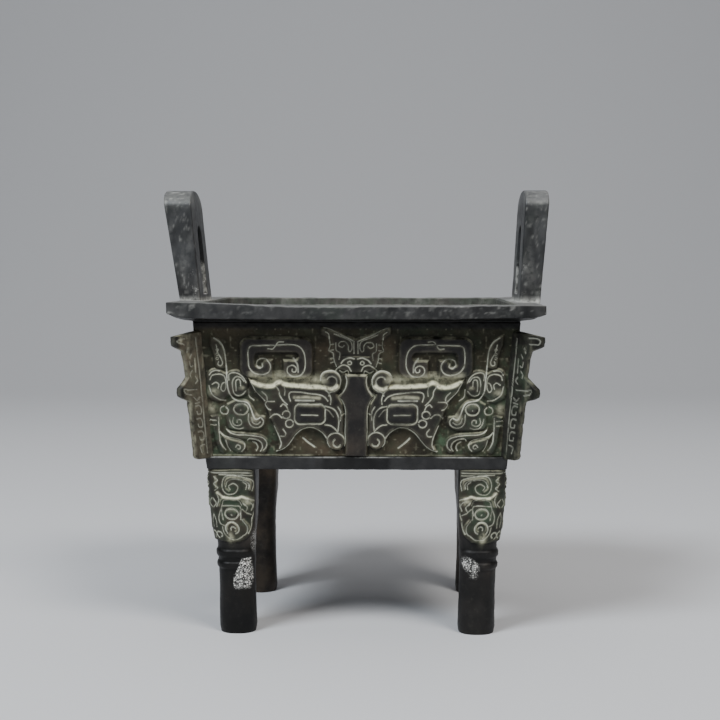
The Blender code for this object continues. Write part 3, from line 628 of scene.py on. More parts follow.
def panel(names, outward, half, flare, half_length, side_flare, unit, draw, step, seed, material):
    """A carved wall panel, in one slab or in a left and a right one."""
    across_axis, up_axis, out_axis, foot = wall_frame(outward, half, flare, PANEL_BOTTOM)
    slope = PANEL_HEIGHT / math.cos(math.atan(flare))
    rows = int(slope / step) + 1
    columns = 2 * int(half_length / step) + 1
    up = np.linspace(0, slope, rows)[:, None] * np.ones((1, columns))
    reach = half_length + side_flare * up - PANEL_GAP
    across = np.linspace(-1, 1, columns)[None, :] * reach
    flat = across[..., None] * across_axis + up[..., None] * up_axis + foot
    warp_x = 0.35 * noise(flat, 0.016, seed) + 0.14 * noise(flat, 0.005, seed + 1)
    warp_y = 0.35 * noise(flat, 0.016, seed + 2) + 0.14 * noise(flat, 0.005, seed + 3)
    relief = Relief(np.abs(across / unit[0] + warp_x), up / unit[1] + warp_y)
    draw(relief)
    ground(relief, flat, seed + 4)
    rise = np.gradient(relief.height, slope / (rows - 1) / MM, axis=0)
    worn = patches(flat, 0.006, seed + 9, -0.9, 0.4)
    # Painted highlight with pale dust: slopes that face up turn pale, in patches.
    relief.pale += 0.42 * np.clip(-rise - 0.12, 0, 1) * worn
    hollow = blurred(relief.height, int(0.0012 / step)) - relief.height
    # Painted highlight on crests that stand above the blurred height, in patches.
    relief.pale += 0.22 * np.clip(-hollow - 0.12, 0, 0.6) * (1 - relief.powder) * worn
    relief.powder *= 0.55 + 0.45 * worn
    # Painted shade: the tone darkens recesses and slopes that face down; then it varies at random.
    tone = 1 - 1.1 * np.clip(hollow, 0, 0.8) - 0.5 * blurred(np.clip(rise - 0.1, 0, 1), 1)
    tone *= 0.90 + 0.22 * rough(flat, 0.009, seed + 10)
    height = relief.height + 0.09 * rough(flat, 0.004, seed + 5) + 0.04 * noise(flat, 0.0012, seed + 6)
    border = np.minimum(reach - np.abs(across), np.minimum(up, slope - up)) / MM
    height = height * step_up(border, 0.0, 0.9) - 0.35 * (1 - step_up(border, 0.0, 0.6))
    # Painted highlight: a thin pale line on the ledge at the panel's foot, in patches.
    foot_line = np.exp(-((up / MM - 0.5) / 0.5) ** 2) * patches(flat, 0.012, seed + 7, -0.5, 0.4)
    relief.pale = np.maximum(relief.pale, 0.55 * foot_line)
    shadowed = step_up(up / slope, 0.935, 0.975)
    relief.polish = np.maximum(relief.polish, 0.9 * shadowed)
    relief.pale *= 1 - shadowed
    tone *= 1 - 0.85 * shadowed
    warm = 0.10 + 0.20 * noise(flat, 0.02, seed + 8) + relief.brown
    face = flat + height[..., None] * MM * out_axis
    paint = coats(relief.polish, relief.powder, relief.pale, relief.green, warm, 0, tone)
    middle = columns // 2
    spans = [(0, columns)] if len(names) == 1 else [(0, middle + 1), (middle, columns)]
    for name, (first, last) in zip(names, spans):
        part = {label: colours[:, first:last] for label, colours in paint.items()}
        slab(name, face[:, first:last], flat[:, first:last], out_axis, part, material)


def panels(material):
    """The carved walls: the front in two slabs, the others plainer, in one each."""
    long_half = BODY_BOTTOM[1] / 2 + BAND_HEIGHT * WIDTH_FLARE
    short_half = BODY_BOTTOM[0] / 2 + BAND_HEIGHT * LENGTH_FLARE
    long_unit = ((BODY_TOP[0] + BODY_BOTTOM[0]) / 4 / LONG_DRAWING[0], PANEL_HEIGHT / LONG_DRAWING[1])
    short_unit = ((BODY_TOP[1] + BODY_BOTTOM[1]) / 4 / SHORT_DRAWING[0], PANEL_HEIGHT / SHORT_DRAWING[1])
    long_sizes = (long_half, WIDTH_FLARE, short_half, LENGTH_FLARE, long_unit, long_panel)
    short_sizes = (short_half, LENGTH_FLARE, long_half, WIDTH_FLARE, short_unit, short_panel)
    walls = (
        (("front_left_panel", "front_right_panel"), (0, -1, 0), *long_sizes, FRONT_STEP),
        (("back_panel",), (0, 1, 0), *long_sizes, BACK_STEP),
        (("right_panel",), (1, 0, 0), *short_sizes, END_STEP),
        (("left_panel",), (-1, 0, 0), *short_sizes, END_STEP),
    )
    for seed, (names, *rest) in enumerate(walls):
        panel(names, *rest, 11 * seed + 5, material)


def oblong_spots(along_count, deep_count, bend_count):
    """Points round a rounded oblong: each one's place on the straight sides, and on a corner's unit arc."""
    corners = np.array([(1, 1), (-1, 1), (-1, -1), (1, -1)], float)
    straights, bends = [], []
    for turn, start in enumerate(corners):
        angle = np.radians(90 * turn + np.linspace(0, 90, bend_count))
        straights.append(np.repeat(start[None], bend_count, axis=0))
        bends.append(np.stack([np.cos(angle), np.sin(angle)], axis=1))
        count = deep_count if turn % 2 else along_count
        share = np.linspace(0, 1, count + 2)[1:-1, None]
        straights.append(start + (corners[(turn + 1) % 4] - start) * share)
        bends.append(np.repeat(bends[-1][-1:], count, axis=0))
    return np.vstack(straights), np.vstack(bends)


def shell_keys(at):
    """The body's rings: half sizes, level, corner radius, and the rows that lead to it from the last one."""
    floor = BOTTOM + FLOOR
    low, mouth = at(floor, WALL), at(RIM_TOP, WALL)
    rim = (RIM[0] / 2, RIM[1] / 2)
    sunk = 0.0009
    edge = 0.0003
    band = at(PANEL_BOTTOM, -BAND_PROUD)
    foot = at(BOTTOM, -BAND_PROUD)

    def shrunk(size, amount):
        """Half sizes less an amount."""
        return size[0] - amount, size[1] - amount

    return [
        ((0.004, 0.003), floor, 0.001, 1),
        (shrunk(low, 0.004), floor, 0.002, 6),
        (shrunk(low, 0.001), floor + 0.001, 0.003, 3),
        (at(floor + 0.004, WALL), floor + 0.004, 0.004, 3),
        (mouth, RIM_TOP - 0.0006, 0.004, 20),
        (shrunk(mouth, -0.0006), RIM_TOP, 0.004, 2),
        (shrunk(rim, edge), RIM_TOP, 0.0008, 18),
        (shrunk(rim, 0.0001), RIM_TOP - 0.0001, 0.0010, 1),
        (rim, RIM_TOP - edge, 0.0010, 1),
        (rim, RIM_LOW + edge, 0.0010, 7),
        (shrunk(rim, edge), RIM_LOW, 0.0008, 2),
        (at(NECK + 0.0004), NECK + 0.0004, 0.001, 9),
        (at(NECK - 0.001, sunk), NECK - 0.001, 0.001, 1),
        (at(PANEL_BOTTOM - 0.0002, sunk), PANEL_BOTTOM - 0.0002, 0.001, 1),
        (shrunk(band, 0.0002), PANEL_BOTTOM, 0.001, 1),
        (band, PANEL_BOTTOM - 0.0004, 0.0012, 1),
        (foot, BOTTOM + 0.0005, 0.0014, 12),
        (shrunk(foot, 0.0005), BOTTOM, 0.0010, 3),
        ((0.004, 0.003), BOTTOM, 0.001, 4),
    ]


def shell(material):
    """The hollow body in one skin: cavity, flat rim, its underside, wall behind the panels, foot band."""
    def at(level, inset=0.0):
        """Half sizes of the body at a level."""
        half_x = BODY_BOTTOM[0] / 2 + (level - BOTTOM) * LENGTH_FLARE
        half_y = BODY_BOTTOM[1] / 2 + (level - BOTTOM) * WIDTH_FLARE
        return half_x - inset, half_y - inset

    straights, bends = oblong_spots(148, 104, 6)
    keys = shell_keys(at)
    spread = []
    for (size0, z0, r0, _), (size1, z1, r1, steps) in zip(keys, keys[1:]):
        start, end = np.array((*size0, z0, r0)), np.array((*size1, z1, r1))
        spread += [start + (end - start) * row / steps for row in range(steps)]
    spread.append(np.array((*keys[-1][0], *keys[-1][1:3])))
    half_x, half_y, levels, radius = np.array(spread).T[:, :, None]
    points = np.stack([
        straights[:, 0] * (half_x - radius) + bends[:, 0] * radius + CENTRE_X,
        straights[:, 1] * (half_y - radius) + bends[:, 1] * radius,
        levels + 0 * straights[:, 0],
    ], axis=-1)
    rows, columns = points.shape[:2]

    mouth = at(RIM_TOP, WALL)
    from_middle = np.abs(points[..., 0] - CENTRE_X)
    outside = np.clip(np.maximum(from_middle - mouth[0], np.abs(points[..., 1]) - mouth[1]) / 0.004, 0, 1)
    rim_part = step_up(points[..., 2], NECK + 0.0005, NECK + 0.002) * outside
    along = (points[..., 0] - CENTRE_X) / (RIM[0] / 2)
    back_edge, front_edge = -0.02, 0.06
    front = step_up(-points[..., 1], back_edge, front_edge)
    top_run, low_run = smooth(RIM_TOP_RUN), smooth(RIM_LOW_RUN)
    upper = np.interp(along, top_run[:, 0], top_run[:, 1])
    lower = np.interp(along, low_run[:, 0], low_run[:, 1])
    share = np.clip((points[..., 2] - RIM_LOW) / RIM_EDGE, 0, 1)
    drop = (lower + (upper - lower) * share) * front - 0.3 * (1 - front) * (1 - along ** 2)
    wave = 0.20 * rough(points, 0.014, 71) + 0.09 * noise(points, 0.003, 75)
    points[..., 2] += rim_part * (drop + wave) * MM
    nick = np.maximum(noise(points, 0.0042, 77) - 0.5, 0)
    bite = 1 - 0.012 * rim_part * nick
    points[..., 1] *= bite
    points[..., 0] = CENTRE_X + (points[..., 0] - CENTRE_X) * bite
    wobble = 0.00011 * rough(points, 0.010, 81) + 0.00005 * noise(points, 0.0025, 83)
    points += wobble[..., None]

    spots = points.reshape(-1, 3)
    height = (levels + 0 * straights[:, 0]).ravel()
    across = np.abs(spots[:, 0] - CENTRE_X)
    inner_x, inner_y = at(height, WALL / 2)
    interior = (across < inner_x) & (np.abs(spots[:, 1]) < inner_y) & (height > BOTTOM + FLOOR - 0.001)
    top_face = (height > RIM_TOP - 0.00005) * ~interior
    rim_side = (height > RIM_LOW - 0.0001) & (height < RIM_TOP - 0.00005) & ~interior
    to_edge = np.minimum(RIM[0] / 2 - across, RIM[1] / 2 - np.abs(spots[:, 1]))
    mottle = patches(spots, 0.005, 91, -0.2, 0.9)
    edge_dust = np.exp(-(to_edge / 0.0022) ** 2) * mottle
    ear_reach, ear_deep, ear_wide = 0.088, 0.009, 0.026
    by_ears = np.exp(-((across - ear_reach) / ear_deep) ** 2 - (spots[:, 1] / ear_wide) ** 4)
    crumbs = patches(spots, 0.0024, 93, 0.0, 0.7)
    pale = top_face * (0.16 + 0.95 * edge_dust * crumbs + 0.85 * by_ears)
    by_mouth = step_up(height, RIM_TOP - 0.012, RIM_TOP)
    flecks = patches(spots, 0.0012, 101, 0.45, 0.8, 1) * (0.3 + along.ravel() ** 2)
    pale += rim_side * (mottle * 0.05 + flecks * 0.22) + interior * (0.05 + 0.12 * crumbs * by_mouth)
    band = height < PANEL_BOTTOM + 0.001
    # Painted highlight: a thin pale line on the ledge at the top of the foot band, in patches.
    band_line = step_up(height, PANEL_BOTTOM - 0.0007, PANEL_BOTTOM - 0.0001) * band
    band_line = band_line * patches(spots, 0.01, 97, -0.6, 0.3)
    green = np.where(interior, 0.30, 0.22 * np.clip(rough(spots, 0.03, 95), 0, 1))
    side = 0.46 - 0.14 * (spots[:, 0] - CENTRE_X) / (RIM[0] / 2)
    spot_half, spot_edge = 0.0165, 0.0015
    dark_spot = step_up(spot_half - across, -spot_edge, spot_edge) * band
    # Below the rim's edge, on its underside, the neck and the wall behind the panels, the tone 0.10 is
    # painted shade.
    top_tone, under_tone, inside_tone = 0.95, 0.10, 0.85
    tone = np.where(rim_side, side, np.where(top_face, top_tone, under_tone))
    tone = np.where(band, 0.42 - 0.24 * dark_spot, tone)
    tone = np.where(interior, inside_tone, tone * (0.92 + 0.26 * rough(spots, 0.005, 99)))
    polish, warm = np.where(interior, 0.5, 1.0), np.where(interior, 0.2, 0.1)
    paint = coats(polish, 0, pale + 0.5 * band_line, green, warm, 0.25 * top_face * edge_dust, tone)
    first = list(range(columns))
    last = [(rows - 1) * columns + index for index in reversed(range(columns))]
    quads = grid_quads(rows, columns, wrap=True)[:, ::-1]
    finish_piece(build_mesh("vessel_shell", spots, quads, [first, last], paint, SHELL_SHARP_ANGLE), material)


def arched_loop(foot_half, spring_half, low, spring, arch, turn):
    """Points round an arched outline, starting at the middle of its foot; equal shares on like places."""
    corner, left_spring, right_spring = 0.08, 0.32, 0.68
    breaks = (0, corner, left_spring, right_spring, 1 - corner, 1)
    x = np.interp(turn, breaks, (0, foot_half, spring_half, -spring_half, -foot_half, 0))
    y = np.interp(turn, breaks, (low, low, spring, spring, low, low))
    angle = math.pi * (turn - left_spring) / (right_spring - left_spring)
    over = (angle >= 0) & (angle < math.pi)
    x = np.where(over, spring_half * np.cos(angle), x)
    y = np.where(over, spring + arch * np.sin(angle), y)
    return np.stack([x, y], axis=1)


def ear(name, side, sizes, seed, material):
    """One ear: posts and arch as a ring round the slot, swept with a rounded oblong section."""
    foot_proud, top_proud, top_thickness = sizes
    stations = 150
    edge_radius = 0.0009
    spring = EAR_HEIGHT - EAR_ARCH
    slot_half = EAR_SLOT_WIDTH / 2
    slot_spring = EAR_SLOT_SILL + EAR_SLOT_HEIGHT - slot_half
    turn = np.linspace(0, 1, stations, endpoint=False)
    outer = arched_loop(EAR_FOOT_WIDTH / 2, EAR_SPRING_WIDTH / 2, -EAR_ROOT, spring, EAR_ARCH, turn)
    inner = arched_loop(slot_half, slot_half, EAR_SLOT_SILL, slot_spring, slot_half, turn)
    middle, reach = (outer + inner) / 2, (outer - inner) / 2
    half_long = np.linalg.norm(reach, axis=1)[:, None]
    straights, bends = oblong_spots(10, 14, 4)
    around = len(straights)
    along = straights[:, 0] * (half_long - edge_radius) + bends[:, 0] * edge_radius
    across = middle[:, None, :] + (reach / half_long)[:, None, :] * along[..., None]
    level = across[..., 1]
    share = np.clip(level / EAR_HEIGHT, 0, 1)
    thick = EAR_FOOT_THICKNESS + (top_thickness - EAR_FOOT_THICKNESS) * share
    outside = RIM[0] / 2 + foot_proud + (top_proud - foot_proud) * share
    deep = straights[:, 1] * (thick / 2 - edge_radius) + bends[:, 1] * edge_radius
    place_x = side * (outside - thick / 2 + deep) + CENTRE_X
    points = np.stack([place_x, across[..., 0], RIM_TOP + level], axis=-1)
    drift = 0.00016 * rough(points, 0.009, seed) + 0.00007 * noise(points, 0.0022, seed + 4)
    towards = points.mean(axis=1, keepdims=True) - points
    towards /= np.linalg.norm(towards, axis=-1, keepdims=True) + 1e-9
    least_drift = 0.00002
    points = points + towards * np.maximum(drift, least_drift)[..., None]

    spots = points.reshape(-1, 3)
    height = spots[:, 2] - RIM_TOP
    foot_dust = np.clip(1 - height / 0.0028, 0, 1)
    inner_side = np.clip((RIM[0] / 2 - 0.004 - (spots[:, 0] - CENTRE_X) * side) / 0.006, 0, 1)
    low_part = np.clip(1 - height / 0.024, 0, 1)
    in_slot = (np.abs(spots[:, 1]) < slot_half + 0.0006) & (height > EAR_SLOT_SILL - 0.0004)
    speckle = np.clip(rough(spots, 0.0035, seed + 9) - 0.3, 0, 1)
    crust = np.clip((inner_side + in_slot * (side < 0)) * low_part * speckle * 2.4, 0, 1)
    streaks = patches(spots * (1, 1, 0.35), 0.0035, seed + 15, -0.2, 1.0)
    # The ear's top is painted lighter in pale and in tone: a painted highlight of light from above, with
    # pale streaks.
    top = step_up(height, spring - 0.002, EAR_HEIGHT - 0.004)
    specks = patches(spots, 0.0011, seed + 17, 0.45, 0.8, 1)
    pale = 0.75 * foot_dust + 0.09 * streaks + 0.16 * specks + top * (0.10 + 0.12 * streaks)
    slot_crust = 0.55 * step_up(0.022 - height, 0.0, 0.005) * patches(spots, 0.003, seed + 21, -0.6, 0.3)
    pale = np.where(in_slot, slot_crust, pale)
    tone = 0.50 + 0.30 * rough(spots * (1, 1, 0.5), 0.007, seed + 18) * (1 - 0.7 * top)
    tone = tone + (0.42 if side < 0 else 0.56) * top
    green = np.clip(rough(spots, 0.02, seed + 12), 0, 1) * 0.15
    paint = coats(0.97, 0, pale, green, 0.15 * low_part, crust, tone)
    index = np.arange(around)
    last_row = (stations - 1) * around
    seam = np.stack([last_row + index, last_row + np.roll(index, -1), np.roll(index, -1), index], axis=-1)
    quads = np.vstack([grid_quads(stations, around, wrap=True), seam])
    if side > 0:
        quads = quads[:, ::-1]
    finish_piece(build_mesh(name, spots, quads, (), paint), material)


def flange_profile(hooks):
    """Reach of the flange from the vessel's corner, against height as a share."""
    upper, lower = hooks
    plain = FLANGE_REACH
    return np.array([
        (0.0, plain * 0.72), (0.008, plain * 0.92), (0.03, plain * 1.03), (0.06, plain * 0.99),
        (0.235, plain), (0.40, plain * 1.03), (0.462, plain * 1.08), (0.483, lower * 0.84),
        (0.503, lower * 0.985), (0.53, lower), (0.565, lower * 0.96), (0.60, lower * 0.76),
        (0.65, plain * 0.96), (0.70, plain), (0.79, plain * 1.03), (0.85, plain * 1.15),
        (0.872, upper * 0.82), (0.889, upper * 0.98), (0.925, upper), (0.962, upper * 0.97),
        (0.975, upper * 0.60), (0.99, upper * 0.22), (1.0, 0.0),
    ])


def flange_lines(hooks, side):
    """Strokes cut in the flange's faces: reach and height in millimetres."""
    upper, lower, plain = hooks[0] / MM, hooks[1] / MM, FLANGE_REACH / MM
    tip = [(upper * 0.55, 60.2), (upper * 0.88, 58.8), (upper * 0.58, 57.2)]
    if side > 0:
        tip = [(upper * 0.50, 60.4), (upper * 0.90, 60.2), (upper * 0.91, 57.8), (upper * 0.55, 57.6)]
    lines = [
        tip, [(5.8, 55.6), (7, 53.2)], [(4.2, 52.4), (5.6, 50.4)], [(6, 48.8), (5.6, 46.2), (4.2, 46.8)],
        [(2.8, 50.2), (3, 43.4)], [(5, 44.2), (6.4, 42.6), (6, 40.8)], [(3.4, 41.4), (2.4, 39.4), (3.8, 38)],
        [(3.4, 35), (lower * 0.56, 34.8), (lower * 0.80, 35.6), (lower * 0.74, 33.2), (lower * 0.52, 32.6)],
        [(2.2, 31), (4, 29.6), (5.4, 31)], [(2.4, 28.4), (5.2, 28.2)],
        [(2.2, 7.4), (4.8, 6.6), (4.2, 3.4)], [(0.9, 60), (0.7, 31), (1, 3)],
    ]
    for level in (24.6, 18.2, 11.8):
        hook = [(plain * 0.68, level + 2.2), (2.4, level + 2), (2.1, level - 1.6), (4.2, level - 2)]
        lines.append(hook + [(4.6, level - 0.4)])
    return lines


def flange(name, x_sign, y_sign, hooks, seed, material):
    """A corner flange: a slab in the corner's diagonal, cut with strokes on both faces."""
    rows, columns = (130, 36) if y_sign < 0 else (84, 26)
    half = FLANGE_THICKNESS / 2
    edge_radius, chip_depth = 0.0009, 0.00022
    profile = flange_profile(hooks)
    up_share = np.linspace(0, 1, rows)
    reach = np.interp(up_share, profile[:, 0], profile[:, 1])
    rng = np.random.default_rng(seed)
    chips = np.interp(up_share, np.linspace(0, 1, 34), rng.normal(0, 1, 34))
    reach = reach - np.clip(chips, 0, 2) * chip_depth * step_up(reach, 0.0, 0.006)
    across_share = np.concatenate([np.linspace(0, 0.88, columns - 9), np.linspace(0.88, 1, 10)[1:]])
    out = -FLANGE_ROOT + across_share[None, :] * (reach + FLANGE_ROOT)[:, None]
    level = up_share[:, None] * FLANGE_HEIGHT * np.ones((1, len(across_share)))
    edge_away = (1 - across_share)[None, :] * (reach + FLANGE_ROOT)[:, None]
    edge_away = np.minimum(edge_away, np.minimum(level, FLANGE_HEIGHT - level))
    edge_round = np.sqrt(np.clip(1 - (1 - np.clip(edge_away / edge_radius, 0, 1)) ** 2, 0, 1))
    thin = 0.94 - 0.06 * across_share[None, :]
    drift = (LENGTH_FLARE + WIDTH_FLARE) / math.sqrt(2)
    foot_rise = BAND_HEIGHT - FLANGE_DROP
    corner = np.array([
        BODY_BOTTOM[0] / 2 + foot_rise * LENGTH_FLARE,
        BODY_BOTTOM[1] / 2 + foot_rise * WIDTH_FLARE,
        BOTTOM + foot_rise,
    ])
    outward = np.array([1, 1, 0]) / math.sqrt(2)
    sideways = np.array([1, -1, 0]) / math.sqrt(2)
    faces, powders = [], []
    for turn in (1, -1):
        relief = Relief(out / MM, level / MM)
        relief.cut(*flange_lines(hooks, x_sign * turn * y_sign), steps=4, half=0.25, depth=0.45, powder=0.6)
        thickness = half * thin * (0.25 + 0.75 * edge_round) + relief.height * MM * edge_round
        place = corner + (out + drift * level)[..., None] * outward + level[..., None] * np.array([0, 0, 1])
        bumps = 0.00016 * rough(place * (1, 1, 0.6 + 0.2 * turn), 0.005, seed) - 0.00012
        faces.append(place + (turn * (thickness + bumps * edge_round))[..., None] * sideways)
        powders.append(relief.powder.ravel())
    front, back = faces
    count = rows * columns
    points = np.vstack([front.reshape(-1, 3), back.reshape(-1, 3)])
    edge = grid_border(rows, columns)
    rim = np.stack([edge + count, edge, np.roll(edge, -1), np.roll(edge, -1) + count], axis=-1)
    quads = np.vstack([grid_quads(rows, columns), grid_quads(rows, columns, first=count)[:, ::-1], rim])
    points = points * np.array([x_sign, y_sign, 1])
    points[:, 0] += CENTRE_X
    if x_sign * y_sign > 0:
        quads = quads[:, ::-1]
    powder = np.concatenate(powders)
    worn = np.tile(1 - edge_round.ravel(), 2)
    hook_end = np.tile(step_up((out + 0 * level).ravel(), hooks[0] * 0.72, hooks[0] * 0.86), 2)
    streaks = patches(points * (1, 1, 0.3), 0.0022, seed + 9, 0.1, 1.1)
    mottle = rough(points, 0.012, seed + 5)
    if x_sign < 0:
        warm, green = 0.9 * (1 - hook_end), np.clip(mottle - 0.35, 0, 1) * 0.7
        pale = 0.08 + 0.30 * streaks + 0.2 * worn
    else:
        warm, green = 0.05, np.clip(mottle + 0.30, 0, 1) * 0.55
        pale = 0.02 + 0.14 * streaks + 0.15 * worn
    low_part = 1 - step_up(points[:, 2] - BOTTOM, 0.020, 0.045)
    tone = (0.85 - 0.42 * low_part if x_sign < 0 else 0.36) + 0.30 * rough(points, 0.004, seed + 12)
    paint = coats(0.75, powder * 0.75, pale * (1 - 0.8 * hook_end), green, warm, 0, tone)
    finish_piece(build_mesh(name, points, quads, (), paint), material)


def leg_mask(relief):
    """The small mask on a leg: out from its corner and up from the floor, both in millimetres."""
    shield = [(-1, 84.6), (21.6, 84.6), (21.2, 70), (20.2, 61), (17.2, 53.6), (12.6, 50), (8.6, 49.2),
              (4, 49.8)]
    shield += [(-1, 51)]
    relief.plate(shield, height=LEG_MASK_THICKNESS / MM, polish=0.55, slope=0.5)
    relief.cut(
        [(1, 83.2), (20.4, 83)],
        [(19.8, 74.6), (20.8, 78.2), (18.4, 80.6), (9.4, 81.9), (6.4, 79.6), (6, 75.4), (8.2, 72.9),
         (12, 73.6), (13.6, 76.4), (11.4, 78.2), (9, 76.8), (9.7, 75.2)],
        [(3.4, 73.9), (5.8, 71.8), (12, 71.3), (15.2, 72.2), (17.6, 71.2), (20.8, 69.8)],
        [(5.2, 67.6), (6.6, 69.9), (13, 70.2), (15, 67.8)],
        [(15.6, 69), (17.4, 66.8), (16.6, 64.6), (18.8, 63.2)],
        [(17.4, 70.2), (19.8, 67.6), (19, 65.2)],
        [(4.6, 65.8), (3.4, 62), (3.8, 59), (5.4, 58)],
        [(14.4, 61), (15.8, 57.4), (15, 54.2), (13.2, 53)],
        [(18.8, 61.6), (17.8, 57.2), (15.6, 54)],
        [(2.4, 81.4), (3.8, 79.6), (2.2, 78), (3.8, 76.2), (2.4, 74.6)],
        [(1, 70.6), (2.6, 68.4), (1.2, 66.6)],
        [(0.6, 64), (1.8, 60.6), (1.6, 57)],
        [(16, 79), (17.8, 77.6), (17.4, 75.4)],
        [(18.4, 75.6), (18.8, 77.6), (17.2, 79.2), (11.6, 80.2), (8.6, 79), (7.6, 76.6)],
        [(13.4, 63), (14.6, 66), (17, 64.2)],
        [(5.2, 60.8), (4.9, 66.6), (6.4, 67.4), (13, 67.5), (14.2, 66.2), (13.8, 61)],
        [(20.2, 68.4), (20.4, 65), (18.9, 61)],
        [(4.4, 57.2), (4.9, 54), (7.2, 51.6), (10.6, 51.2), (13.2, 52.8)],
        [(20.4, 81.8), (4.6, 82.4)],
        [(3.2, 72.6), (3.8, 70), (2.9, 67)],
        steps=4, half=0.18, depth=0.45, powder=0.8,
    )
    relief.groove(arc((9.4, 56.6), 3.9, 215, -70, 18, -1.4), half=0.26)
    relief.groove(arc((9.4, 56.4), 1.2, 200, 20, 8), half=0.24)
    relief.groove(arc((2.4, 53.4), 1.7, 250, -60, 12, -0.5), half=0.24)
    forms = (
        [(19, 75), (19.4, 78.4), (17.4, 79.6), (10, 80.6), (7.6, 78.8), (7.4, 75.8), (9, 74.2)],
        [(4, 67.2), (5.6, 70.4), (13.6, 70.8), (16.2, 67.6)],
        arc((9.4, 56.6), 3, 200, -60, 14, -1.2),
        [(15.2, 60.6), (16.8, 57), (15.8, 53.8)],
        [(3, 81), (3.2, 76)],
    )
    for form in forms:
        relief.roll(smooth(form, 3), 0.50, 0.6, 0.22)
    relief.roll(smooth([(3.6, 73), (6, 70.9), (12, 70.4), (15.2, 71.3), (18, 70.4)]), 0.5, 0.9, 0.8)
    eye(relief, 6.3, 12.8, 61.2, 66.2)
    relief.stain((9, 68), (9, 13), 0.75)
    relief.stain((7.4, 51.8), (1.5, 2.6), 0.7, "pale")
    relief.stain((17.6, 69.6), (2, 1.6), 0.7, "pale")


def leg(name, x_sign, y_sign, seed, material):
    """A leg: a round column with two rings, widening to a rounded square under its mask."""
    fine = y_sign < 0
    rings_low, mask_low, mask_top, top = 31, 46, 84.4, 86
    levels = np.concatenate([
        np.linspace(0, rings_low, 12)[:-1], np.linspace(rings_low, mask_low, 40 if fine else 24)[:-1],
        np.linspace(mask_low, mask_top, 136 if fine else 54), [top],
    ])
    widths = np.array(LEG_HALF_WIDTHS)
    half = np.interp(levels, widths[:, 0], widths[:, 1])
    kernel = np.exp(-((levels[:, None] - levels[None, :]) / 0.35) ** 2)
    half = (kernel @ half) / kernel.sum(axis=1)
    radius = half * np.interp(levels, [0, 47, 60, 86], [0.86, 0.80, 0.52, 0.30])
    outer_count, inner_count = (190, 34) if fine else (90, 24)
    carved_turn = 0.27
    inner_turn = np.linspace(carved_turn, 1 - carved_turn, inner_count + 2)[1:-1]
    turn = np.concatenate([np.linspace(-carved_turn, carved_turn, outer_count), inner_turn])
    turn = np.where(turn > 0.5, turn - 1, turn)
    straight = half - radius
    quarter = 2 * straight + radius * math.pi / 2
    run = np.abs(turn)[None, :] * (4 * quarter)[:, None]
    place, normal = round_square(run, straight, radius)
    swap = (turn < 0)[None, :, None]
    place = np.where(swap, place[..., ::-1], place)
    normal = np.where(swap, normal[..., ::-1], normal)
    lean = LEG_LEAN_IN / MM * (1 - levels / (LEG_HEIGHT / MM))
    inset = (LEG_SETBACK + LEG_TOP_WIDTH / 2) / MM
    flat = np.zeros(run.shape + (3,))
    flat[..., 0] = (BODY_BOTTOM[0] / 2 / MM - inset - lean)[:, None] + place[..., 0]
    flat[..., 1] = (BODY_BOTTOM[1] / 2 / MM - inset - lean)[:, None] + place[..., 1]
    flat[..., 2] = levels[:, None]
    flat *= np.array([x_sign, y_sign, 1]) * MM
    flat[..., 0] += CENTRE_X + (BACK_LEG_SHIFT if y_sign > 0 else 0)
    side_seed = np.where(turn >= 0, 0.0, 0.4)[None, :, None]
    warp = 0.3 * noise(flat + side_seed, 0.008, seed)
    drawn = LEG_HEIGHT / MM - (LEG_HEIGHT / MM - levels) * LEG_MASK_DRAWN / (LEG_MASK_HEIGHT / MM)
    relief = Relief(run + 0.6 + warp, drawn[:, None] + 0.3 * noise(flat, 0.008, seed + 1))
    leg_mask(relief)
    height = relief.height + 0.12 * rough(flat, 0.006, seed + 2) + 0.04 * noise(flat, 0.0015, seed + 3)
    outer_side = step_up(0.33 - np.abs(turn), 0.0, 0.10)[None, :]
    for ring_level, ring_half, ring_height in LEG_RINGS:
        swell = np.exp(-((levels - ring_level) / ring_half) ** 4)[:, None]
        height = height + ring_height * outer_side * swell
    hollow = blurred(height, 4) - height
    foot_round = np.clip(levels / 0.8, 0, 1)
    height = height - 0.5 * (1 - np.sqrt(foot_round))[:, None]
    height = np.where(levels[:, None] > mask_top + 0.05, -0.2, height)
    out = np.concatenate([normal * np.array([x_sign, y_sign]), np.zeros(run.shape + (1,))], axis=-1)
    points = (flat + out * height[..., None] * MM).reshape(-1, 3)
    rows, columns = run.shape
    quads = grid_quads(rows, columns, wrap=True)
    loops = [list(range(columns))[::-1], [(rows - 1) * columns + index for index in range(columns)]]
    if x_sign * y_sign < 0:
        quads = quads[:, ::-1]
        loops = [loop[::-1] for loop in loops]
    column_polish = 0.97 - 0.97 * step_up(levels, 43, 46.5)[:, None] * step_up(relief.raised, 0.3, 0.8)
    polish = np.maximum(column_polish, relief.polish)
    # Painted highlight on the mask's slopes that face up and on its crests; the tone darkens recesses as
    # painted shade.
    topside = np.clip(-np.gradient(height, levels, axis=0) - 0.12, 0, 1)
    relief.pale += (0.28 * topside + 0.15 * np.clip(-hollow - 0.05, 0, 0.5)) * relief.raised
    column = 1 - step_up(levels, 43, 47)[:, None]
    tone = (1 - 1.2 * np.clip(hollow, 0, 0.6)) * (0.85 + 0.2 * rough(flat, 0.008, seed + 11))
    if fine:
        tone *= 1 - (0.60 if x_sign < 0 else 0.25) * column
    rust = np.clip(rough(points, 0.012, seed + 7), 0, 1)
    warm = 0.06 + 0.25 * rust if fine else 0.45 + 0.35 * rust
    fields = (polish, relief.powder, relief.pale, relief.green * relief.raised, tone)
    polish, powder, pale, green, tone = (field.ravel() for field in fields)
    paint = coats(polish, powder, pale, green, warm, leg_patch(points, x_sign, y_sign), tone)
    finish_piece(build_mesh(name, points, quads, loops, paint), material)


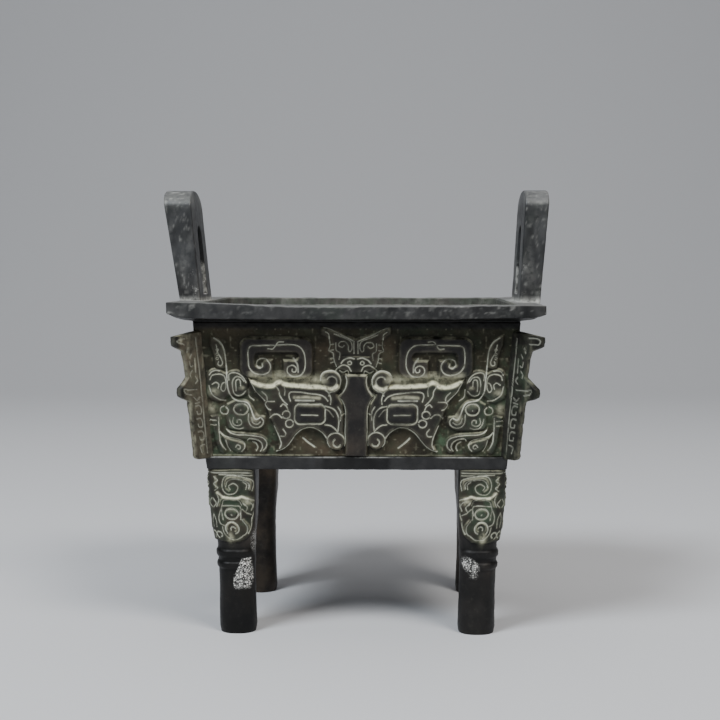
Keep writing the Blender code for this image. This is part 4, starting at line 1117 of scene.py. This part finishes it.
def round_square(run, straight, radius):
    """Places and normals round a rounded square, by distance from its outer corner's middle."""
    straight = straight[:, None] + 0 * run
    radius = radius[:, None] + 0 * run
    eighth = radius * math.pi / 4
    quarter = 2 * straight + 2 * eighth
    lap = np.floor((run + eighth) / quarter)
    rest = run + eighth - lap * quarter
    on_arc = rest < 2 * eighth
    angle = rest / radius
    x = np.where(on_arc, straight + radius * np.cos(angle), straight - rest + 2 * eighth)
    y = np.where(on_arc, straight + radius * np.sin(angle), straight + radius)
    nx = np.where(on_arc, np.cos(angle), 0.0)
    ny = np.where(on_arc, np.sin(angle), 1.0)
    cosine, sine = np.cos(lap * math.pi / 2), np.sin(lap * math.pi / 2)
    place = np.stack([x * cosine - y * sine, x * sine + y * cosine], axis=-1)
    return place, np.stack([nx * cosine - ny * sine, nx * sine + ny * cosine], axis=-1)


def leg_patch(points, x_sign, y_sign):
    """White crackled deposit on the front legs; sizes in millimetres."""
    if y_sign > 0:
        return np.zeros(len(points))
    x = (points[:, 0] - CENTRE_X) / MM
    z = points[:, 2] / MM
    front_of_leg = -40.5
    facing = points[:, 1] / MM < front_of_leg
    if x_sign < 0:
        drop = np.clip((z - 23.0) / 16.0, 0, 1)
        middle = -57.8 + 2.4 * drop
        wide = 5.4 * np.sqrt(np.clip(drop * 5, 0, 1)) * (1 - 0.60 * drop ** 1.5)
        teardrop = step_up(wide - np.abs(x - middle), -0.3, 0.5) * (drop > 0) * (drop < 1)
        scab = np.hypot((x + 51.4) / 2.0, (z - 47.0) / 6.6)
        return np.where(facing, teardrop, 0) + 0.5 * step_up(-scab, -1.2, -0.5)
    slant = (x - 57.0 + 0.4 * (z - 35.0)) / 4.3
    away = np.hypot(slant, (z - 35.2) / 4.9)
    return np.where(facing, 0.9 * step_up(-away, -1.1, -0.7), 0)


# Finish

def bronze_material(name, dark, light, deposit):
    """Worn bronze between two tones: olive low ground, pale powder in grooves, green and brown stains, a
    pale deposit colour that also paints highlights, and a tone that paints shade.
    """
    material = bpy.data.materials.new(name)
    material.use_nodes = True
    nodes, links = material.node_tree.nodes, material.node_tree.links
    nodes.clear()

    def node(kind, **values):
        made = nodes.new("ShaderNode" + kind)
        for label, value in values.items():
            setattr(made, label, value)
        return made

    def plug(value, socket):
        if isinstance(value, bpy.types.NodeSocket):
            links.new(value, socket)
        else:
            socket.default_value = value

    def maths(operation, first, second=0.0, clamp=False):
        made = node("Math", operation=operation, use_clamp=clamp)
        plug(first, made.inputs[0])
        plug(second, made.inputs[1])
        return made.outputs[0]

    def mix(amount, first, second):
        made = node("Mix", data_type="RGBA")
        plug(amount, made.inputs["Factor"])
        plug(first, made.inputs[6])
        plug(second, made.inputs[7])
        return made.outputs[2]

    def ramp(value, low, high):
        made = node("MapRange", interpolation_type="SMOOTHSTEP")
        plug(value, made.inputs["Value"])
        made.inputs["From Min"].default_value = low
        made.inputs["From Max"].default_value = high
        return made.outputs["Result"]

    def channels(label):
        attribute = node("Attribute", attribute_name=label)
        split = node("SeparateColor")
        links.new(attribute.outputs["Color"], split.inputs["Color"])
        return *split.outputs[:3], attribute.outputs["Alpha"]

    place = node("TexCoord").outputs["Object"]

    def cloud(scale, detail=4.0, roughness=0.6):
        made = node("TexNoise")
        links.new(place, made.inputs["Vector"])
        made.inputs["Scale"].default_value = scale
        made.inputs["Detail"].default_value = detail
        made.inputs["Roughness"].default_value = roughness
        return made.outputs["Fac"]

    polish, powder, pale = channels("relief")[:3]
    green, warm, crust, tone = channels("patina_and_shade")
    broad, fine, grit = cloud(70.0), cloud(420.0), cloud(1500.0, 3.0)

    olive = mix(ramp(broad, 0.35, 0.7), (0.012, 0.0112, 0.0050, 1), (0.029, 0.0268, 0.0125, 1))
    metal_tone = mix(ramp(broad, 0.3, 0.72), (*dark, 1), (*light, 1))
    colour = mix(polish, olive, metal_tone)
    colour = mix(maths("MULTIPLY", ramp(fine, 0.52, 0.78), 0.30), colour, (0.10, 0.10, 0.085, 1))
    brown_amount = maths("MULTIPLY", warm, maths("ADD", ramp(broad, 0.3, 0.65), 0.25), clamp=True)
    colour = mix(maths("MULTIPLY", brown_amount, 0.7), colour, (0.125, 0.090, 0.058, 1))
    green_amount = maths("MULTIPLY", green, ramp(cloud(180.0), 0.38, 0.62))
    colour = mix(maths("MULTIPLY", green_amount, 0.75), colour, (0.075, 0.135, 0.075, 1))
    # The tone darkens the colour towards black: painted shade in recesses and under the rim, uneven
    # darkening, and less of it where a top has a painted highlight.
    colour = mix(tone, (0.0, 0.0, 0.0, 1), colour)
    # The pale channel mixes in the deposit colour: pale deposit, and painted highlight on slopes, crests and
    # ledges.
    pale_amount = maths("MULTIPLY", pale, ramp(fine, 0.22, 0.58), clamp=True)
    colour = mix(pale_amount, colour, (*deposit, 1))
    powder_amount = maths("MULTIPLY", powder, ramp(cloud(260.0), 0.20, 0.50), clamp=True)
    colour = mix(powder_amount, colour, (0.62, 0.63, 0.52, 1))
    crackle = node("TexVoronoi", feature="DISTANCE_TO_EDGE")
    links.new(place, crackle.inputs["Vector"])
    crackle.inputs["Scale"].default_value = 900.0
    flakes = maths("MULTIPLY", ramp(crackle.outputs["Distance"], 0.04, 0.22), ramp(cloud(700.0), 0.34, 0.54))
    crust_amount = maths("MULTIPLY", crust, flakes, clamp=True)
    colour = mix(crust_amount, colour, (0.90, 0.89, 0.84, 1))

    shader = node("BsdfPrincipled")
    shader.inputs["Specular IOR Level"].default_value = 0.32
    output = node("OutputMaterial")
    links.new(shader.outputs["BSDF"], output.inputs["Surface"])
    links.new(colour, shader.inputs["Base Color"])
    covered = maths("ADD", maths("ADD", powder_amount, crust_amount), pale_amount, clamp=True)
    dull = maths("ADD", maths("MULTIPLY", polish, -0.30), 0.78)
    dull = maths("ADD", dull, maths("MULTIPLY", maths("SUBTRACT", fine, 0.5), 0.35))
    dull = maths("ADD", dull, maths("MULTIPLY", covered, 0.3), clamp=True)
    links.new(dull, shader.inputs["Roughness"])
    sheen = maths("MULTIPLY", polish, 0.35)
    metallic = maths("MULTIPLY", sheen, maths("SUBTRACT", 1.0, covered), clamp=True)
    links.new(metallic, shader.inputs["Metallic"])
    bump = node("Bump")
    bump.inputs["Strength"].default_value = 0.35
    bump.inputs["Distance"].default_value = 0.0004
    grain = maths("ADD", maths("MULTIPLY", fine, 0.7), maths("MULTIPLY", grit, 0.3))
    links.new(grain, bump.inputs["Height"])
    links.new(bump.outputs["Normal"], shader.inputs["Normal"])
    return material


def plain_material(name, colour, roughness):
    """One colour, for the stage."""
    material = bpy.data.materials.new(name)
    material.use_nodes = True
    shader = material.node_tree.nodes["Principled BSDF"]
    shader.inputs["Base Color"].default_value = colour
    shader.inputs["Roughness"].default_value = roughness
    return material


# Stage, light and camera

def backdrop():
    """A pale sweep: floor, a wide bend and a wall."""
    width, front, bend_start, bend_radius, height = 9.0, -4.0, 1.1, 1.0, 3.4
    profile = [(front, 0.0)]
    for step in range(25):
        angle = math.pi / 2 * step / 24
        profile.append((bend_start + bend_radius * math.sin(angle), bend_radius * (1 - math.cos(angle))))
    profile.append((bend_start + bend_radius, height))
    points = [(side * width, y, z) for y, z in profile for side in (-1, 1)]
    faces = [(2 * i, 2 * i + 1, 2 * i + 3, 2 * i + 2) for i in range(len(profile) - 1)]
    mesh = bpy.data.meshes.new("backdrop")
    mesh.from_pydata(points, [], faces)
    mesh.shade_smooth()
    item = bpy.data.objects.new("backdrop", mesh)
    bpy.context.scene.collection.objects.link(item)
    mesh.materials.append(plain_material("backdrop_grey", (0.60, 0.605, 0.62, 1), 0.8))


def area_light(name, place, aim, size, power, colour):
    """A soft lamp turned to a place."""
    data = bpy.data.lights.new(name, "AREA")
    data.shape = "RECTANGLE"
    data.size, data.size_y = size
    data.energy = power
    data.color = colour
    item = bpy.data.objects.new(name, data)
    bpy.context.scene.collection.objects.link(item)
    item.location = place
    item.rotation_euler = (Vector(aim) - Vector(place)).to_track_quat("-Z", "Y").to_euler()


def lighting():
    """Two lamps high in front, left and right, a broad soft one overhead, and a dim room."""
    middle = (0.0, 0.0, 0.10)
    area_light("left_lamp", (-0.80, -0.85, 1.50), middle, (0.55, 0.55), 31.0, (0.90, 0.95, 1.0))
    area_light("right_lamp", (0.70, -0.85, 1.55), middle, (0.55, 0.55), 20.0, (1.0, 0.97, 0.93))
    area_light("overhead", (0.0, 0.25, 1.8), middle, (1.6, 1.2), 7.0, (1.0, 0.99, 0.98))
    world = bpy.data.worlds.new("soft_room")
    bpy.context.scene.world = world
    world.use_nodes = True
    world.node_tree.nodes["Background"].inputs["Color"].default_value = (0.62, 0.64, 0.68, 1)
    world.node_tree.nodes["Background"].inputs["Strength"].default_value = 0.20


def camera():
    """The camera, low in front of the vessel and a little to its right."""
    yaw, pitch = math.radians(1.2605), math.radians(4.4125)
    right_of_middle, distance_away, eye_level = 0.01547, 0.676, 0.18703
    place = Vector((right_of_middle + CENTRE_X, -distance_away, eye_level))
    forward = Vector((-math.sin(yaw) * math.cos(pitch), math.cos(yaw) * math.cos(pitch), -math.sin(pitch)))
    data = bpy.data.cameras.new("camera")
    data.lens = 63.5
    data.sensor_width = 36.0
    data.clip_start = 0.01
    item = bpy.data.objects.new("camera", data)
    bpy.context.scene.collection.objects.link(item)
    item.location = place
    item.rotation_euler = forward.to_track_quat("-Z", "Y").to_euler()
    bpy.context.scene.camera = item


def main():
    camera()
    lighting()
    backdrop()
    carved = bronze_material("carved_bronze", *CARVED_TONES)
    plain = bronze_material("plain_bronze", *PLAIN_TONES)
    shell(plain)
    panels(carved)
    ear("left_ear", -1, LEFT_EAR, 31, plain)
    ear("right_ear", 1, RIGHT_EAR, 37, plain)
    seed = 41
    for x_sign, side, hooks in ((-1, "left", LEFT_HOOKS), (1, "right", RIGHT_HOOKS)):
        for y_sign, end in ((-1, "front"), (1, "back")):
            flange(end + "_" + side + "_flange", x_sign, y_sign, hooks, seed, carved)
            leg(end + "_" + side + "_leg", x_sign, y_sign, seed + 3, carved)
            seed += 10
    for slot in bpy.data.objects[NODE].material_slots:
        slot.material = plain


main()
